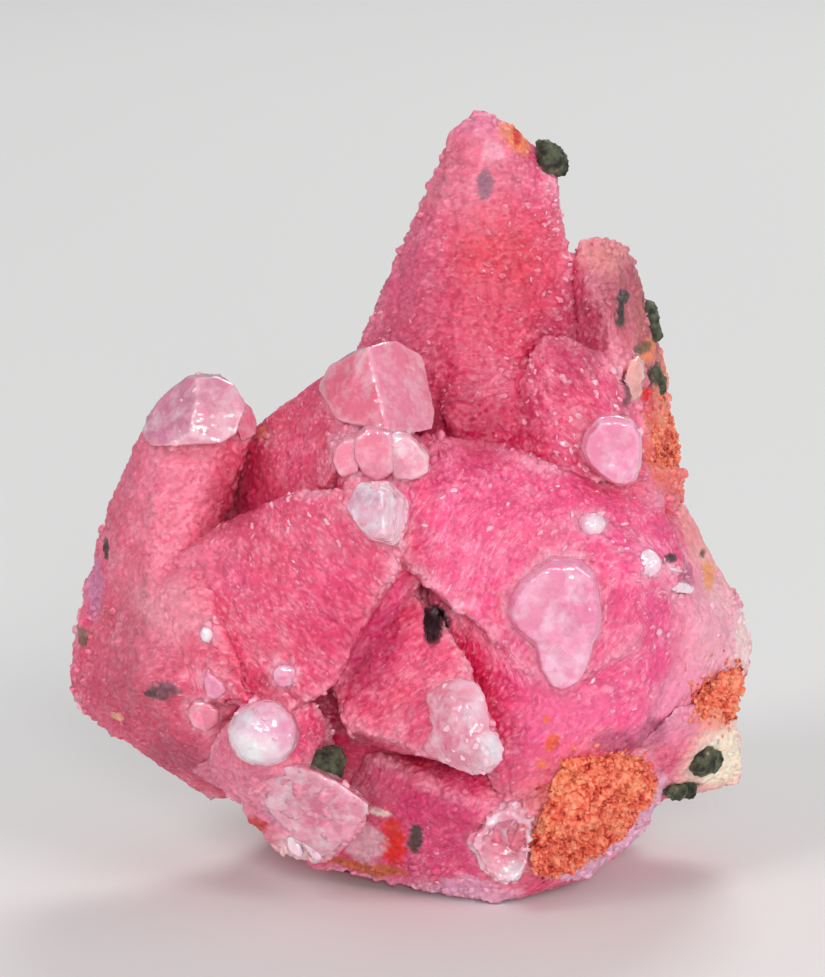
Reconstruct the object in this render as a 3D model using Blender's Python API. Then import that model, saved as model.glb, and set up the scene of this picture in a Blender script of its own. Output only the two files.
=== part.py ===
"""Pink calcite specimen: druse-coated pointed crystals grown together, with clear blunt crystals on
their tips, green nodules and crumbly orange crusts, on a flat broken base.

Metres, +Z up. The origin is the middle of the specimen's bounding box at the base. The showy side
faces -Y and the broken back faces +Y. Every length below is in millimetres, and MM turns it into
metres."""

import math

import bmesh
import bpy
import numpy as np
from mathutils import Matrix, Vector, noise

MM = 0.001

# Calcite's own angles, in degrees.
CLEAVAGE_ANGLE = 45.4       # how far the cleavage faces rise from the plane across the axis
THIRDS = (0, 120, 240)

# The rounded crystals: rings of corners, each as its rise in degrees and its number of corners, round
# an axis that points out of the showy side.
ROUND_RINGS = ((90, 1), (48, 6), (10, 9), (-28, 7), (-90, 1))
ROUND_AXIS = (0, -1, 0.3)

# The surface.
BLEND_VOXEL = 0.5           # the crystals are fused at this grain
DRUSE_HEIGHT = 0.27         # how far the middle of a lump of druse stands out
DRUSE_FALL = 0.6            # how much lower its surface is one spacing away
DRUSE_SPACING = 3.2         # size of one lump
SWELL_RELIEF = 0.5          # slow waviness of a whole face
SWELL_SPACING = 8.0
CLUSTER_TRIANGLES = 4700    # before the clear crystals and the sockets are added
NODULE_VOXEL = 0.22
NODULE_TRIANGLES = 180
CRUMB_HEIGHT = 0.25         # how far the middle of a crumb stands out of its crust
CRUMB_FALL = 0.5            # how much lower its surface is one spacing away
CRUMB_SPACING = 1.6         # size of one crumb
CRUST_DENSITY = 1.3         # triangles to a square millimetre of crust
GAP = 0.3                   # clearance between a nodule or crust and its socket
ON_PLANE = 1e-4             # what lies this near the base is taken to be on it
TO_CENTRE = (0.09, -0.321, 0)   # brings the middle of the whole box over the origin

# Finishes: linear red, green and blue, and roughness.
PINK = ((0.78, 0.19, 0.28), 0.35)
GREEN = ((0.05, 0.08, 0.05), 0.8)
ORANGE = ((0.8, 0.2, 0.06), 0.9)

# The pink crystals, each the smallest flat-faced body round its corners.
PINK_CRYSTALS = {
    "top": [(4, 6, 77.2), (7, 6, 79), (9, 7, 78), (14, 8, 73), (14.5, 7, 71), (16, 6, 64), (18, 4, 45),
            (-10, 8, 44.5), (4, -3, 46.5), (6, 4, 76.5), (8.5, 4, 76.5), (7, 9, 77.5), (14, 12, 72),
            (13.5, 18, 42.5), (-5.5, 18, 42.5)],
    "right": [(17.5, 8, 64.5), (19, 9, 65), (21, 10, 63), (22.5, 11, 61.5), (23, 12, 58), (26, 12, 51),
              (26.5, 12, 38.5), (27, 10, 31.5), (15, 8, 63), (13, 5, 42), (20, 2, 56.5), (21.5, 0, 42),
              (21.5, 15, 61.5), (26, 22, 37), (15.5, 20, 37.5)],
    "right_front": [(12.5, -1, 57), (14.5, 0, 57), (19.5, 1, 54.5), (24.5, 2, 45.5), (25.5, 2, 39.5),
                    (6.5, -1, 43), (14.5, -8, 41.5), (19.5, -7, 43.5), (15, 6, 54), (24.5, 12, 39.5),
                    (9, 10, 40)],
    "upper_left": [(-6.5, -4, 55), (-4, -5, 56), (-1.5, -6, 53), (-2, -9, 48.5), (-6.5, -12, 48),
                   (-8, -12, 44.5), (-18, 4, 45), (-19, 2, 36.5), (-11, -4, 34.5), (-4, 2, 54),
                   (-2.5, 3, 47.5), (-16.5, 10, 45), (-11.5, 8, 32)],
    "centre_left": [(-19, -4, 38.5), (-11, -11, 43.5), (-6.5, -15, 44.5), (-1, -16, 44.5),
                    (-0.5, -18, 39), (-1.5, -17, 37), (-7.5, -15, 24.5), (-12, -14, 21.5),
                    (-22, -9, 21.5), (-30.5, -3, 26), (-28, -3, 32.5), (-16.5, 6, 34.5), (-3.5, 0, 38),
                    (-6.5, 0, 21), (-27, 6, 23)],
    "centre_right": [(1, -7, 48), (7, -7, 47.5), (13.5, -8, 45), (16.5, -8, 43.5), (24.5, -5, 41),
                     (-1, -11, 44), (-1, -14, 36.5), (4, -15, 32), (8.5, -16, 28.5), (22, -14, 37),
                     (27, -9, 35.5), (22, -14, 29), (14.5, -16, 23.5), (25.5, 8, 38), (3, 6, 43.5),
                     (3, 0, 29.5), (24, 4, 20)],
    "lower_centre": [(-1, -11, 34.5), (1.5, -12, 32.5), (5, -15, 28.5), (7, -19, 25), (8.5, -22, 21),
                     (7.5, -22, 18.5), (5.5, -22, 18), (-2, -17, 19), (-7, -13, 20), (-8, -12, 22.5),
                     (-6.5, -11, 25), (-3, -4, 30.5), (6.5, -8, 17), (-5.5, -4, 16)],
    "arm": [(-26.5, 0, 48.5), (-24.5, 0, 50.5), (-22, 1, 52.5), (-19, 1, 52.5), (-17, 1, 51),
            (-15.5, 2, 47), (-16, 0, 45.5), (-18.5, -1, 38), (-21, -3, 30.5), (-28, 3, 44.5),
            (-32, 4, 36), (-34, 5, 28.5), (-30.5, 0, 25.5), (-22, -4, 49), (-25, -5, 41), (-26, -6, 31),
            (-21.5, 6, 51), (-18.5, 9, 38), (-32, 9, 27.5)],
    "lower_left": [(-32, 4, 36), (-33.5, 4, 29.5), (-34.5, 4, 25.5), (-35, 3, 20.5), (-34.5, 2, 18),
                   (-31, 1, 15.5), (-28.5, 1, 14), (-25.5, 0, 12), (-20, -2, 9), (-26, -7, 31),
                   (-28, -7, 22), (-21, -10, 22), (-19.5, -9, 14.5), (-11, -8, 21.5), (-12.5, -4, 12),
                   (-32.5, 10, 25), (-34.5, 8, 17), (-22, 6, 8), (-13.5, 8, 17)],
    "ball_body": [(-22, -8, 14), (-19.5, -12, 19), (-16.5, -14, 23), (-10, -12, 23), (-8, -10, 20),
                  (-7.5, -8, 14.5), (-11, -14, 14), (-17, -10, 10.5), (-15.5, -18, 18), (-18.5, -2, 13.5),
                  (-9.5, -2, 15.5)],
    "foot": [(-17.5, -14, 15.5), (-10.5, -16, 16.5), (-5.5, -16, 13.5), (-4, -14, 11.5),
             (-6.5, -13, 7.5), (-9.5, -10, 4.5), (-14, -9, 6), (-17, -10, 10.5), (-11.5, -4, 7.5),
             (-8.5, -3, 4.5)],
    "bottom": [(-4.5, -6, 15.5), (-6, -6, 11), (-11.5, 0, 1.5), (-1.5, -4, 3), (3, -5, 1.5), (8, -8, 0),
               (1.5, -12, 14), (5.5, -14, 12.5), (10, -13, 12.5), (8.5, -10, 15.5), (-1.5, 6, 12),
               (-9.5, 8, 6.5), (11, 4, 11.5)],
    "centre_body": [(7.5, -15, 29), (9, -14, 17), (10, -14, 12), (12.5, -16, 23.5), (22.5, -12, 18.5),
                    (23, -13, 36.5), (27.5, -8, 29.5), (18.5, -8, 11), (15, 0, 25.5), (25.5, 4, 11.5),
                    (7, 0, 19), (1, -10.5, 33), (4, -12, 21), (8, -12.5, 12)],
    "bottom_right": [(10.5, -13, 17.5), (18.5, -12, 19), (23.5, -9, 16.5), (25.5, -5, 11.5),
                     (25, -4, 9.5), (23, -4, 6), (19.5, -4, 3.5), (17, -5, 1.5), (12, -8, 1.5),
                     (8, -8, 0), (10.5, -14, 10.5), (18.5, -13, 12.5), (11, 6, 11), (24.5, 10, 7),
                     (19.5, 8, 0)],
    "right_lobe": [(27, 8, 39.5), (28, 6, 38.5), (28, 4, 36), (31, 3, 31), (33.5, 2, 28), (35, 1, 25),
                   (34, 0, 23.5), (32.5, 0, 18.5), (23, -10, 36), (28.5, -8, 29.5), (28.5, -7, 23),
                   (23.5, -9, 17.5), (20, -12, 32.5), (28.5, 14, 30), (34.5, 10, 23), (33.5, 12, 16),
                   (21, 6, 28)],
    "right_foot": [(32.5, 0, 18.5), (33.5, 2, 14.5), (33.5, 2, 11.5), (33.5, 3, 9.5), (29.5, 2, 9),
                   (25, 0, 8.5), (27.5, -7, 20), (23.5, -9, 17.5), (23, -6, 12.5), (30, 12, 16),
                   (33.5, 12, 8.5), (25, 14, 5.5)],
}

# The clear crystals that capped them later.
CLEAR_CRYSTALS = {
    "upper_cap": [(-6.5, -6, 54.5), (-4, -8, 56.5), (-1.5, -7, 57), (1, -7, 55.5), (2, -8, 52.5),
                  (2, -8, 49.5), (1, -9, 48.5), (-2.5, -13, 50.5), (-4, -13, 53), (-6, -11, 52),
                  (-2, -12, 48.5), (-1, -1, 55), (1.5, -1, 48), (-5, -3, 47.5)],
    "bright_cap": [(-6.5, -17, 43.5), (-6, -16, 44.5), (-1, -16, 45), (-0.5, -17, 44), (-0.5, -18, 40.5),
                   (-1.5, -19, 39), (-4.5, -20, 40.5), (-4, -21, 43), (-1.5, -21, 44), (-4, -13, 42.5),
                   (-1, -13, 39.5)],
    "arm_cap": [(-26.5, -1, 48), (-24.5, -1, 51), (-22, 0, 52.5), (-19, 0, 52.5), (-17, 0, 51),
                (-16, -1, 49), (-17, -5, 47), (-19.5, -7, 46.5), (-23, -6, 47), (-20.5, -6, 50.5),
                (-24, -5, 50), (-21.5, 6, 51), (-17.5, 5, 49), (-21.5, 2, 45.5)],
    "arm_bud": [(-17, 1, 50), (-16, 1, 49), (-15.5, 1, 47.5), (-15.5, 0, 46.5), (-17, -2, 46),
                (-17.5, -3, 48), (-17.5, 4, 47)],
    "lower_cap": [(5, -17, 28.5), (6.5, -19, 27.5), (7, -21, 25.5), (7, -22, 23.5), (4, -22, 23),
                  (2.5, -20, 24.5), (1.5, -18, 26), (2.5, -17, 27.5), (4.5, -23, 26.5), (4.5, -14, 24)],
    "lower_tip": [(7, -21, 23.5), (8.5, -23, 22.5), (8.5, -23, 21), (8, -23, 19), (5.5, -23, 18),
                  (3, -21, 18.5), (2.5, -20, 19.5), (4, -22, 22.5), (6.5, -25, 21.5), (5.5, -16, 19)],
}

# Rounded clear crystals: middle, half sizes.
CLEAR_ROUNDS = {
    "ball": ((-14.5, -18, 21), (3.3, 3.3, 3.3)),
    "shield": ((13.9, -17.4, 33.8), (4.5, 3.3, 4.6)),
    "shield_foot": ((14.6, -16.4, 28), (2.8, 2.9, 3.1)),
    "right_button": ((19.6, -7.8, 46.3), (3.2, 3.6, 3.6)),
    "pale_middle": ((-4, -12.6, 47), (2.1, 2, 2.3)),
    "pale_left": ((-6.2, -11.8, 47.4), (1.5, 1.8, 1.8)),
    "pale_right": ((-0.2, -11, 46.8), (2.3, 2.3, 2.2)),
    "left_bud": ((-20.5, -8.2, 29), (1.2, 1.2, 1.2)),
    "middle_bud": ((-13, -13.8, 24), (1.9, 1.8, 1.6)),
    "low_left_bud": ((-21, -9.4, 21), (1.8, 1.6, 1.7)),
    "small_right": ((17.5, -11.8, 40), (1.6, 1.6, 1.3)),
    "side_glint": ((23, -12.6, 35.5), (1.8, 1.6, 1.8)),
    "cup": ((9.2, -10.6, 7), (3.4, 3.6, 3.7)),
}

# The broken mass behind the crystals: blocks bounded by cleavage, each with its middle, the way its
# axis points, its half thickness and its turn.
BACK_BLOCKS = {
    "back_upper": ((8, 12, 47), (0.2, 0.6, 1), 8, 10),
    "back_left": ((-17, 8, 27), (-0.4, 0.8, 0.5), 9, 40),
    "back_middle": ((2, 11, 28), (0.1, 1, 0.3), 11, 0),
    "back_right": ((17, 11, 30), (0.5, 0.9, 0.2), 9, 70),
    "back_low": ((2, 10, 10), (0.1, 0.7, 0.8), 11, 25),
    "back_low_right": ((15, 11, 11), (0.3, 0.7, 0.5), 7, 55),
}
# What fills the gaps between them.
HEART = [(-27, 2, 27), (-18, 0, 38), (2, -4, 46), (5, 2, 56), (22, 2, 45), (28, 0, 30), (22, -4, 18),
         (8.5, -8.5, -2), (-6, 4, -2), (-20, 0, 16), (-18, 14, 30), (5, 16, 52), (22, 15, 34),
         (-5, 19, 41), (14, 19, 41), (19, 20, -2), (-12, 20, -2), (-12, 12, -2), (19, 10, -2),
         (0, -10, 30)]

# The green nodules: the balls each is made of, as middle and radius.
GREEN_NODULES = {
    "green_nodule_lower_left": [((-8.6, -10.2, 15), 1.9), ((-9.5, -9.8, 14.5), 1.5),
                                ((-7.8, -9.9, 15.5), 1.4)],
    "green_nodule_lower_right": [((29.2, -2.4, 13.5), 1.7), ((30.1, -1.6, 13.2), 1.3)],
    "green_nodule_underside": [((26.6, -1.3, 10.1), 1.2), ((28, -0.4, 10), 1.0)],
    "green_nodule_top": [((13.8, 7.4, 73.2), 1.6), ((14.4, 8, 72.5), 1.3), ((13.2, 8, 74.1), 1.1)],
    "green_nodule_side": [((23.6, 10.8, 56.6), 1.3), ((23.9, 11.2, 55.3), 1.3), ((23.5, 11.1, 57.7), 1.0)],
    "green_nodule_edge": [((24.6, 8.6, 51.2), 1.3), ((25, 9.4, 50), 1.3)],
}

# The crumbly orange crusts, each the body round the corners of its edge and its back.
ORANGE_CRUSTS = {
    "orange_crust_lower": [(11.6, -13.2, 5.2), (11.2, -13.6, 8.2), (12.4, -14.5, 11.2), (13.4, -14.6, 14),
                           (14.6, -14.4, 16.8), (17.4, -14.2, 17.2), (20.6, -12.9, 17.3),
                           (23, -10.6, 16.2), (24.3, -8.4, 13.6), (24.9, -7.2, 11.6), (23.6, -7.6, 10),
                           (21.6, -8, 7.8), (20.2, -7.2, 6), (18.2, -8.4, 5), (16.2, -8.6, 3.6),
                           (13.8, -9.6, 3.2), (17.4, -14.4, 12), (15, -14.2, 8.5), (20.5, -11.8, 11.5),
                           (13, -9, 6), (15, -9, 15), (22, -5, 14), (19, -4, 7)],
    "orange_crust_flank": [(28, -7.2, 20.8), (29, -6.8, 22.2), (30.8, -5.2, 23.2), (33.6, -0.9, 23),
                           (33.3, -0.6, 20), (32.6, -0.7, 16.6), (31, -3, 18.6), (29.8, -4.6, 18.6),
                           (28.4, -6.2, 19.4), (28, -3, 21), (31, 0.5, 20), (31.5, 1.5, 22)],
    "orange_crust_edge": [(23.9, 4.8, 48.2), (24.6, 8.2, 49.4), (24.5, 0.7, 44.8), (25.3, 0.9, 41),
                          (27.3, 5.5, 40.6), (27.4, 10.5, 43.9), (26.4, 9.5, 47.5), (22.5, 5, 46),
                          (24, 8, 42), (23.5, 9, 46)],
}

# The small dark pit beside the lower crystal: middle and half sizes.
PIT = ((2.1, -13.6, 30.4), (0.6, 1.9, 1.2))


def empty_scene():
    for obj in list(bpy.data.objects):
        bpy.data.objects.remove(obj)


def face_normals(azimuths, elevation):
    """Unit normals at these angles round the crystal's axis, rising by the elevation, in degrees."""
    rise = math.radians(elevation)
    return [
        Vector((math.cos(math.radians(a)) * math.cos(rise), math.sin(math.radians(a)) * math.cos(rise),
                math.sin(rise)))
        for a in azimuths
    ]


def hull(corners):
    """The closed flat-faced body round the corners, in its own bmesh."""
    bm = bmesh.new()
    for corner in corners:
        bm.verts.new(corner)
    made = bmesh.ops.convex_hull(bm, input=bm.verts[:])
    spare = {v for v in made["geom_interior"] + made["geom_unused"] if isinstance(v, bmesh.types.BMVert)}
    bmesh.ops.delete(bm, geom=list(spare), context="VERTS")
    bmesh.ops.recalc_face_normals(bm, faces=bm.faces[:])
    return bm


def ball_corners(middle, half):
    """The corners of a small body with many faces, close to round."""
    corners = []
    for rise, count in ROUND_RINGS:
        corners += face_normals([360 * (step + rise / 100) / count for step in range(count)], rise)
    turn = Vector(ROUND_AXIS).to_track_quat("Z", "Y")
    return [Vector(middle) + (turn @ corner) * Vector(half) for corner in corners]


def block_corners(middle, axis, half, roll):
    """The eight corners of a cleavage rhombohedron."""
    across = Matrix(face_normals(THIRDS, CLEAVAGE_ANGLE)).inverted()
    turn = Vector(axis).to_track_quat("Z", "Y").to_matrix() @ Matrix.Rotation(math.radians(roll), 3, "Z")
    signs = [(a, b, c) for a in (-1, 1) for b in (-1, 1) for c in (-1, 1)]
    return [Vector(middle) + turn @ (across @ (Vector(sign) * half)) for sign in signs]


def fused(bodies, voxel, name):
    """One closed surface round all the bodies, as a bmesh of small squares."""
    mesh = bpy.data.meshes.new(name)
    together = bmesh.new()
    for body in bodies:
        body.to_mesh(mesh)
        body.free()
        together.from_mesh(mesh)
    together.to_mesh(mesh)
    together.free()
    obj = bpy.data.objects.new(name, mesh)
    bpy.context.scene.collection.objects.link(obj)
    remesh = obj.modifiers.new("fuse", "REMESH")
    remesh.mode = "VOXEL"
    remesh.voxel_size = voxel
    whole = bmesh.new()
    whole.from_object(obj, bpy.context.evaluated_depsgraph_get())
    bpy.data.objects.remove(obj)
    return whole


def simplified(bm, triangles, name):
    """The surface with its flat stretches in few triangles."""
    mesh = bpy.data.meshes.new(name)
    bmesh.ops.triangulate(bm, faces=bm.faces[:])
    share = triangles / len(bm.faces)
    bm.to_mesh(mesh)
    bm.free()
    obj = bpy.data.objects.new(name, mesh)
    bpy.context.scene.collection.objects.link(obj)
    decimate = obj.modifiers.new("simplify", "DECIMATE")
    decimate.ratio = share
    fewer = bmesh.new()
    fewer.from_object(obj, bpy.context.evaluated_depsgraph_get())
    bpy.data.objects.remove(obj)
    return fewer


def relieved(bm):
    """Lumps of druse and a slow waviness."""
    bm.normal_update()
    moves = []
    for v in bm.verts:
        near = noise.voronoi(v.co / DRUSE_SPACING)[0][0]
        swell = noise.noise(v.co / SWELL_SPACING)
        moves.append(v.normal * (DRUSE_HEIGHT - DRUSE_FALL * near + SWELL_RELIEF * swell))
    for v, move in zip(bm.verts, moves):
        v.co += move
    return bm


def cut_flat(bm):
    """Cuts off what lies below the base."""
    bmesh.ops.bisect_plane(bm, geom=bm.verts[:] + bm.edges[:] + bm.faces[:], dist=ON_PLANE,
                           plane_co=(0, 0, 0), plane_no=(0, 0, -1), clear_outer=True)
    bmesh.ops.holes_fill(bm, edges=[e for e in bm.edges if e.is_boundary], sides=0)
    return bm


def combined(first, others, operation):
    """The first body with the others joined to it or cut from it."""
    tools = bpy.data.collections.new(operation)
    for index, body in enumerate(others):
        tools.objects.link(object_of(body, f"{operation}_{index}"))
    obj = object_of(first, "first")
    bpy.context.scene.collection.objects.link(obj)
    modifier = obj.modifiers.new(operation, "BOOLEAN")
    modifier.operation = operation
    modifier.operand_type = "COLLECTION"
    modifier.collection = tools
    made = bmesh.new()
    made.from_object(obj, bpy.context.evaluated_depsgraph_get())
    for spare in [obj, *tools.objects]:
        bpy.data.objects.remove(spare)
    bpy.data.collections.remove(tools)
    return made


def object_of(bm, name):
    """An object with this body, which is used up."""
    mesh = bpy.data.meshes.new(name)
    bm.to_mesh(mesh)
    bm.free()
    return bpy.data.objects.new(name, mesh)


def cluster():
    """All the crystals grown together and the broken mass behind them."""
    pink = [hull(points) for points in PINK_CRYSTALS.values()]
    back = [hull(block_corners(*sizes)) for sizes in BACK_BLOCKS.values()] + [hull(HEART)]
    whole = relieved(fused(pink + back, BLEND_VOXEL, "calcite"))
    whole = cut_flat(simplified(whole, CLUSTER_TRIANGLES, "calcite"))
    clear = [hull(points) for points in CLEAR_CRYSTALS.values()]
    clear += [hull(ball_corners(*sizes)) for sizes in CLEAR_ROUNDS.values()]
    return combined(whole, clear, "UNION")


def nodule(balls):
    """A green botryoidal nodule: balls grown into each other."""
    whole = fused([hull(ball_corners(middle, (r, r, r))) for middle, r in balls], NODULE_VOXEL, "nodule")
    return simplified(whole, NODULE_TRIANGLES, "nodule")


def crust(corners):
    """A plate of crumbs: lumpy, and a little uneven."""
    whole = fused([hull(corners)], BLEND_VOXEL, "crust")
    whole.normal_update()
    moves = []
    for v in whole.verts:
        near = noise.voronoi(v.co / CRUMB_SPACING)[0][0]
        moves.append(v.normal * (CRUMB_HEIGHT - CRUMB_FALL * near))
    for v, move in zip(whole.verts, moves):
        v.co += move
    area = sum(face.calc_area() for face in whole.faces)
    return simplified(whole, round(CRUST_DENSITY * area), "crust")


def grown(body, by):
    """A copy of the body with its surface moved out."""
    copy = body.copy()
    copy.normal_update()
    for v, move in zip(copy.verts, [v.normal * by for v in copy.verts]):
        v.co += move
    return copy


def material(name, finish):
    colour, roughness = finish
    made = bpy.data.materials.new(name)
    made.use_nodes = True
    shader = made.node_tree.nodes["Principled BSDF"]
    shader.inputs["Base Color"].default_value = (*colour, 1)
    shader.inputs["Roughness"].default_value = roughness
    shader.inputs["Metallic"].default_value = 0
    return made


def in_one_piece(bm):
    """The largest body alone: a chip that a socket cuts loose is dropped."""
    bodies = []
    left = set(bm.verts)
    while left:
        body = {left.pop()}
        edge = list(body)
        while edge:
            here = edge.pop()
            near = {e.other_vert(here) for e in here.link_edges} & left
            left -= near
            body |= near
            edge += near
        bodies.append(body)
    bodies.sort(key=len)
    bmesh.ops.delete(bm, geom=[v for body in bodies[:-1] for v in body], context="VERTS")
    return bm


def placed(bm, name, finish):
    """The finished piece at its real size, with its middle over the origin."""
    bmesh.ops.triangulate(bm, faces=bm.faces[:])
    bmesh.ops.recalc_face_normals(bm, faces=bm.faces[:])
    bmesh.ops.transform(bm, matrix=Matrix.Scale(MM, 4) @ Matrix.Translation(TO_CENTRE), verts=bm.verts[:])
    obj = object_of(bm, name)
    obj.data.materials.append(finish)
    bpy.context.scene.collection.objects.link(obj)


def main():
    empty_scene()
    pink = material("pink calcite", PINK)
    green = material("green nodule", GREEN)
    orange = material("orange crust", ORANGE)
    nodules = {name: nodule(balls) for name, balls in GREEN_NODULES.items()}
    crusts = {name: crust(corners) for name, corners in ORANGE_CRUSTS.items()}
    sockets = [grown(body, GAP) for body in (*nodules.values(), *crusts.values())]
    whole = combined(cluster(), [*sockets, hull(ball_corners(*PIT))], "DIFFERENCE")
    placed(in_one_piece(whole), "calcite_cluster", pink)
    for name, body in nodules.items():
        placed(body, name, green)
    for name, body in crusts.items():
        placed(body, name, orange)


main()
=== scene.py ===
import math
from functools import partial

import bmesh
import bpy
import numpy as np
from mathutils import Matrix, Vector


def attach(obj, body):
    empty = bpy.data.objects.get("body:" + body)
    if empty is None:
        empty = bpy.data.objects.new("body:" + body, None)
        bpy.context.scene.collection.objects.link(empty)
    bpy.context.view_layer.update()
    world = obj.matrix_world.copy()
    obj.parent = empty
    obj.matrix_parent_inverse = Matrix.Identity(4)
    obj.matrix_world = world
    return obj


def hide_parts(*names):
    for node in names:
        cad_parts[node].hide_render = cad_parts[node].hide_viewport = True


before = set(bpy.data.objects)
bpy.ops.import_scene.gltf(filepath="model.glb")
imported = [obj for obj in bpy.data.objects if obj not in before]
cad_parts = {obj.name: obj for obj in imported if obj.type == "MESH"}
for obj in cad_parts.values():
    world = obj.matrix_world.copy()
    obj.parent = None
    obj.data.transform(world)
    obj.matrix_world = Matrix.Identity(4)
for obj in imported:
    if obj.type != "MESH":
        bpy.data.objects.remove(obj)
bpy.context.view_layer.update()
scene = bpy.context.scene

# pieces are modelled in millimetres and brought to the frame at the end
mm = 0.001
toFrame = Matrix.Scale(mm, 4) @ Matrix.Translation((0.09, -0.321, 0))


def linear(hexColour):
    parts = [int(hexColour[i:i + 2], 16) / 255 for i in (1, 3, 5)]
    return [p / 12.92 if p <= 0.04045 else ((p + 0.055) / 1.055) ** 2.4 for p in parts] + [1]


def setInputs(node, values):
    # each value is a node, one of its outputs, or a plain value
    for socket, value in values.items():
        if isinstance(value, bpy.types.Node):
            value = value.outputs[0]
        if isinstance(value, bpy.types.NodeSocket):
            node.id_data.links.new(value, node.inputs[socket])
        else:
            node.inputs[socket].default_value = value


def addNode(tree, kind, inputs=None, stops=(), **settings):
    # the stops are those of a colour ramp, which starts with two of its own
    node = tree.nodes.new(kind)
    for name, value in settings.items():
        setattr(node, name, value)
    setInputs(node, inputs or {})
    for at, (position, shade) in enumerate(stops):
        elements = node.color_ramp.elements
        stop = elements[at] if at < 2 else elements.new(position)
        stop.position = position
        stop.color = linear(shade)
    return node


def objectOf(mesh, name):
    obj = bpy.data.objects.new(name, mesh)
    scene.collection.objects.link(obj)
    return obj


def objectFrom(shape, name):
    mesh = bpy.data.meshes.new(name)
    shape.to_mesh(mesh)
    shape.free()
    return objectOf(mesh, name)


def makePlain(obj):
    # turns the object's live modifiers into its own mesh
    graph = bpy.context.evaluated_depsgraph_get()
    mesh = bpy.data.meshes.new_from_object(obj.evaluated_get(graph), preserve_all_data_layers=True,
                                           depsgraph=graph)
    obj.modifiers.clear()
    old = obj.data
    obj.data = mesh
    bpy.data.meshes.remove(old)
    mesh.name = obj.name
    return obj


def growOn(obj, tree, surface, sizes):
    # runs a geometry tree on the object with these sizes and this finish
    values = {**sizes, "Finish": surface}
    modifier = obj.modifiers.new(tree.name, "NODES")
    modifier.node_group = tree
    for item in tree.interface.items_tree:
        if item.item_type == "SOCKET" and item.name in values:
            modifier[item.identifier] = values[item.name]
    return makePlain(obj)


def valuesOf(mesh, name):
    # the place ("co") or the "normal" of every point
    values = np.empty(len(mesh.vertices) * 3, np.float32)
    mesh.vertices.foreach_get(name, values)
    return values.reshape(-1, 3).astype(float)


def writeValues(mesh, **named):
    # stores a number for every point, or a colour where there are four numbers to a point
    for name, values in named.items():
        values = np.asarray(values, np.float32)
        if values.ndim == 0:
            values = np.full(len(mesh.vertices), values)
        isColour = values.ndim == 2
        made = mesh.attributes.new(name, "FLOAT_COLOR" if isColour else "FLOAT", "POINT")
        made.data.foreach_set("color" if isColour else "value", values.ravel())


def hullOf(*bodies):
    # one convex body round each of these lists of corners
    shape = bmesh.new()
    for corners in bodies:
        made = bmesh.ops.convex_hull(shape, input=[shape.verts.new(corner) for corner in corners])
        loose = {v for v in made["geom_interior"] + made["geom_unused"]
                 if isinstance(v, bmesh.types.BMVert)}
        bmesh.ops.delete(shape, geom=list(loose), context="VERTS")
    bmesh.ops.recalc_face_normals(shape, faces=shape.faces[:])
    return shape


def grownMesh(shape, name, voxel, softness):
    # one closed, evenly fine mesh round the whole shape, with its edges softened
    obj = objectFrom(shape, name)
    remesh = obj.modifiers.new("fine", "REMESH")
    remesh.mode = "VOXEL"
    remesh.voxel_size = voxel
    soft = obj.modifiers.new("soft", "SMOOTH")
    soft.factor = 0.5
    soft.iterations = softness
    return makePlain(obj)


def planesOf(corners):
    shape = hullOf(corners)
    normals = np.array([face.normal for face in shape.faces])
    heights = np.array([face.normal.dot(face.verts[0].co) for face in shape.faces])
    shape.free()
    return normals, heights


def outsideBy(points, *bodies):
    # how far each point is outside the nearest of these bodies' planes, below nought inside one
    return np.min([(points @ normals.T - heights).max(axis=1) for normals, heights in bodies], axis=0)


# Faces more than this deep inside other bodies are out of sight, and this share of them is dropped.
buriedFaces = {"depth": 0.6, "dropped": 0.94}


def thinBuried(obj, *bodies):
    # leaves few faces where the surface lies out of sight inside other bodies
    depths = outsideBy(valuesOf(obj.data, "co"), *bodies)
    buried = np.flatnonzero(depths < -buriedFaces["depth"])
    if not len(buried):
        return obj
    group = obj.vertex_groups.new(name="buried")
    group.add(buried.tolist(), 1.0, "REPLACE")
    fewer = obj.modifiers.new("fewer", "DECIMATE")
    fewer.vertex_group = group.name
    fewer.ratio = 1 - buriedFaces["dropped"] * len(buried) / len(depths)
    makePlain(obj)
    obj.vertex_groups.clear()
    return obj


def cutOff(obj, point, outward):
    # cuts off what lies beyond the plane and closes the cut
    shape = bmesh.new()
    shape.from_mesh(obj.data)
    bmesh.ops.bisect_plane(shape, geom=shape.verts[:] + shape.edges[:] + shape.faces[:], dist=1e-5,
                           plane_co=point, plane_no=outward, clear_outer=True)
    bmesh.ops.holes_fill(shape, edges=[e for e in shape.edges if e.is_boundary], sides=0)
    bmesh.ops.triangulate(shape, faces=[f for f in shape.faces if len(f.verts) > 4])
    shape.to_mesh(obj.data)
    shape.free()


def cutFlat(obj, level):
    cutOff(obj, (0, 0, level), (0, 0, -1))


def pressIn(mesh, points, hollow):
    # presses a hollow into the showy side, and gives how far out from its middle each point lies
    within = np.linalg.norm((points - hollow["middle"]) / hollow["half"], axis=1)
    points[:, 1] += hollow["depth"] * np.clip(1 - within ** hollow["steepness"], 0, 1)
    mesh.vertices.foreach_set("co", points.astype(np.float32).ravel())
    return within


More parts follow.
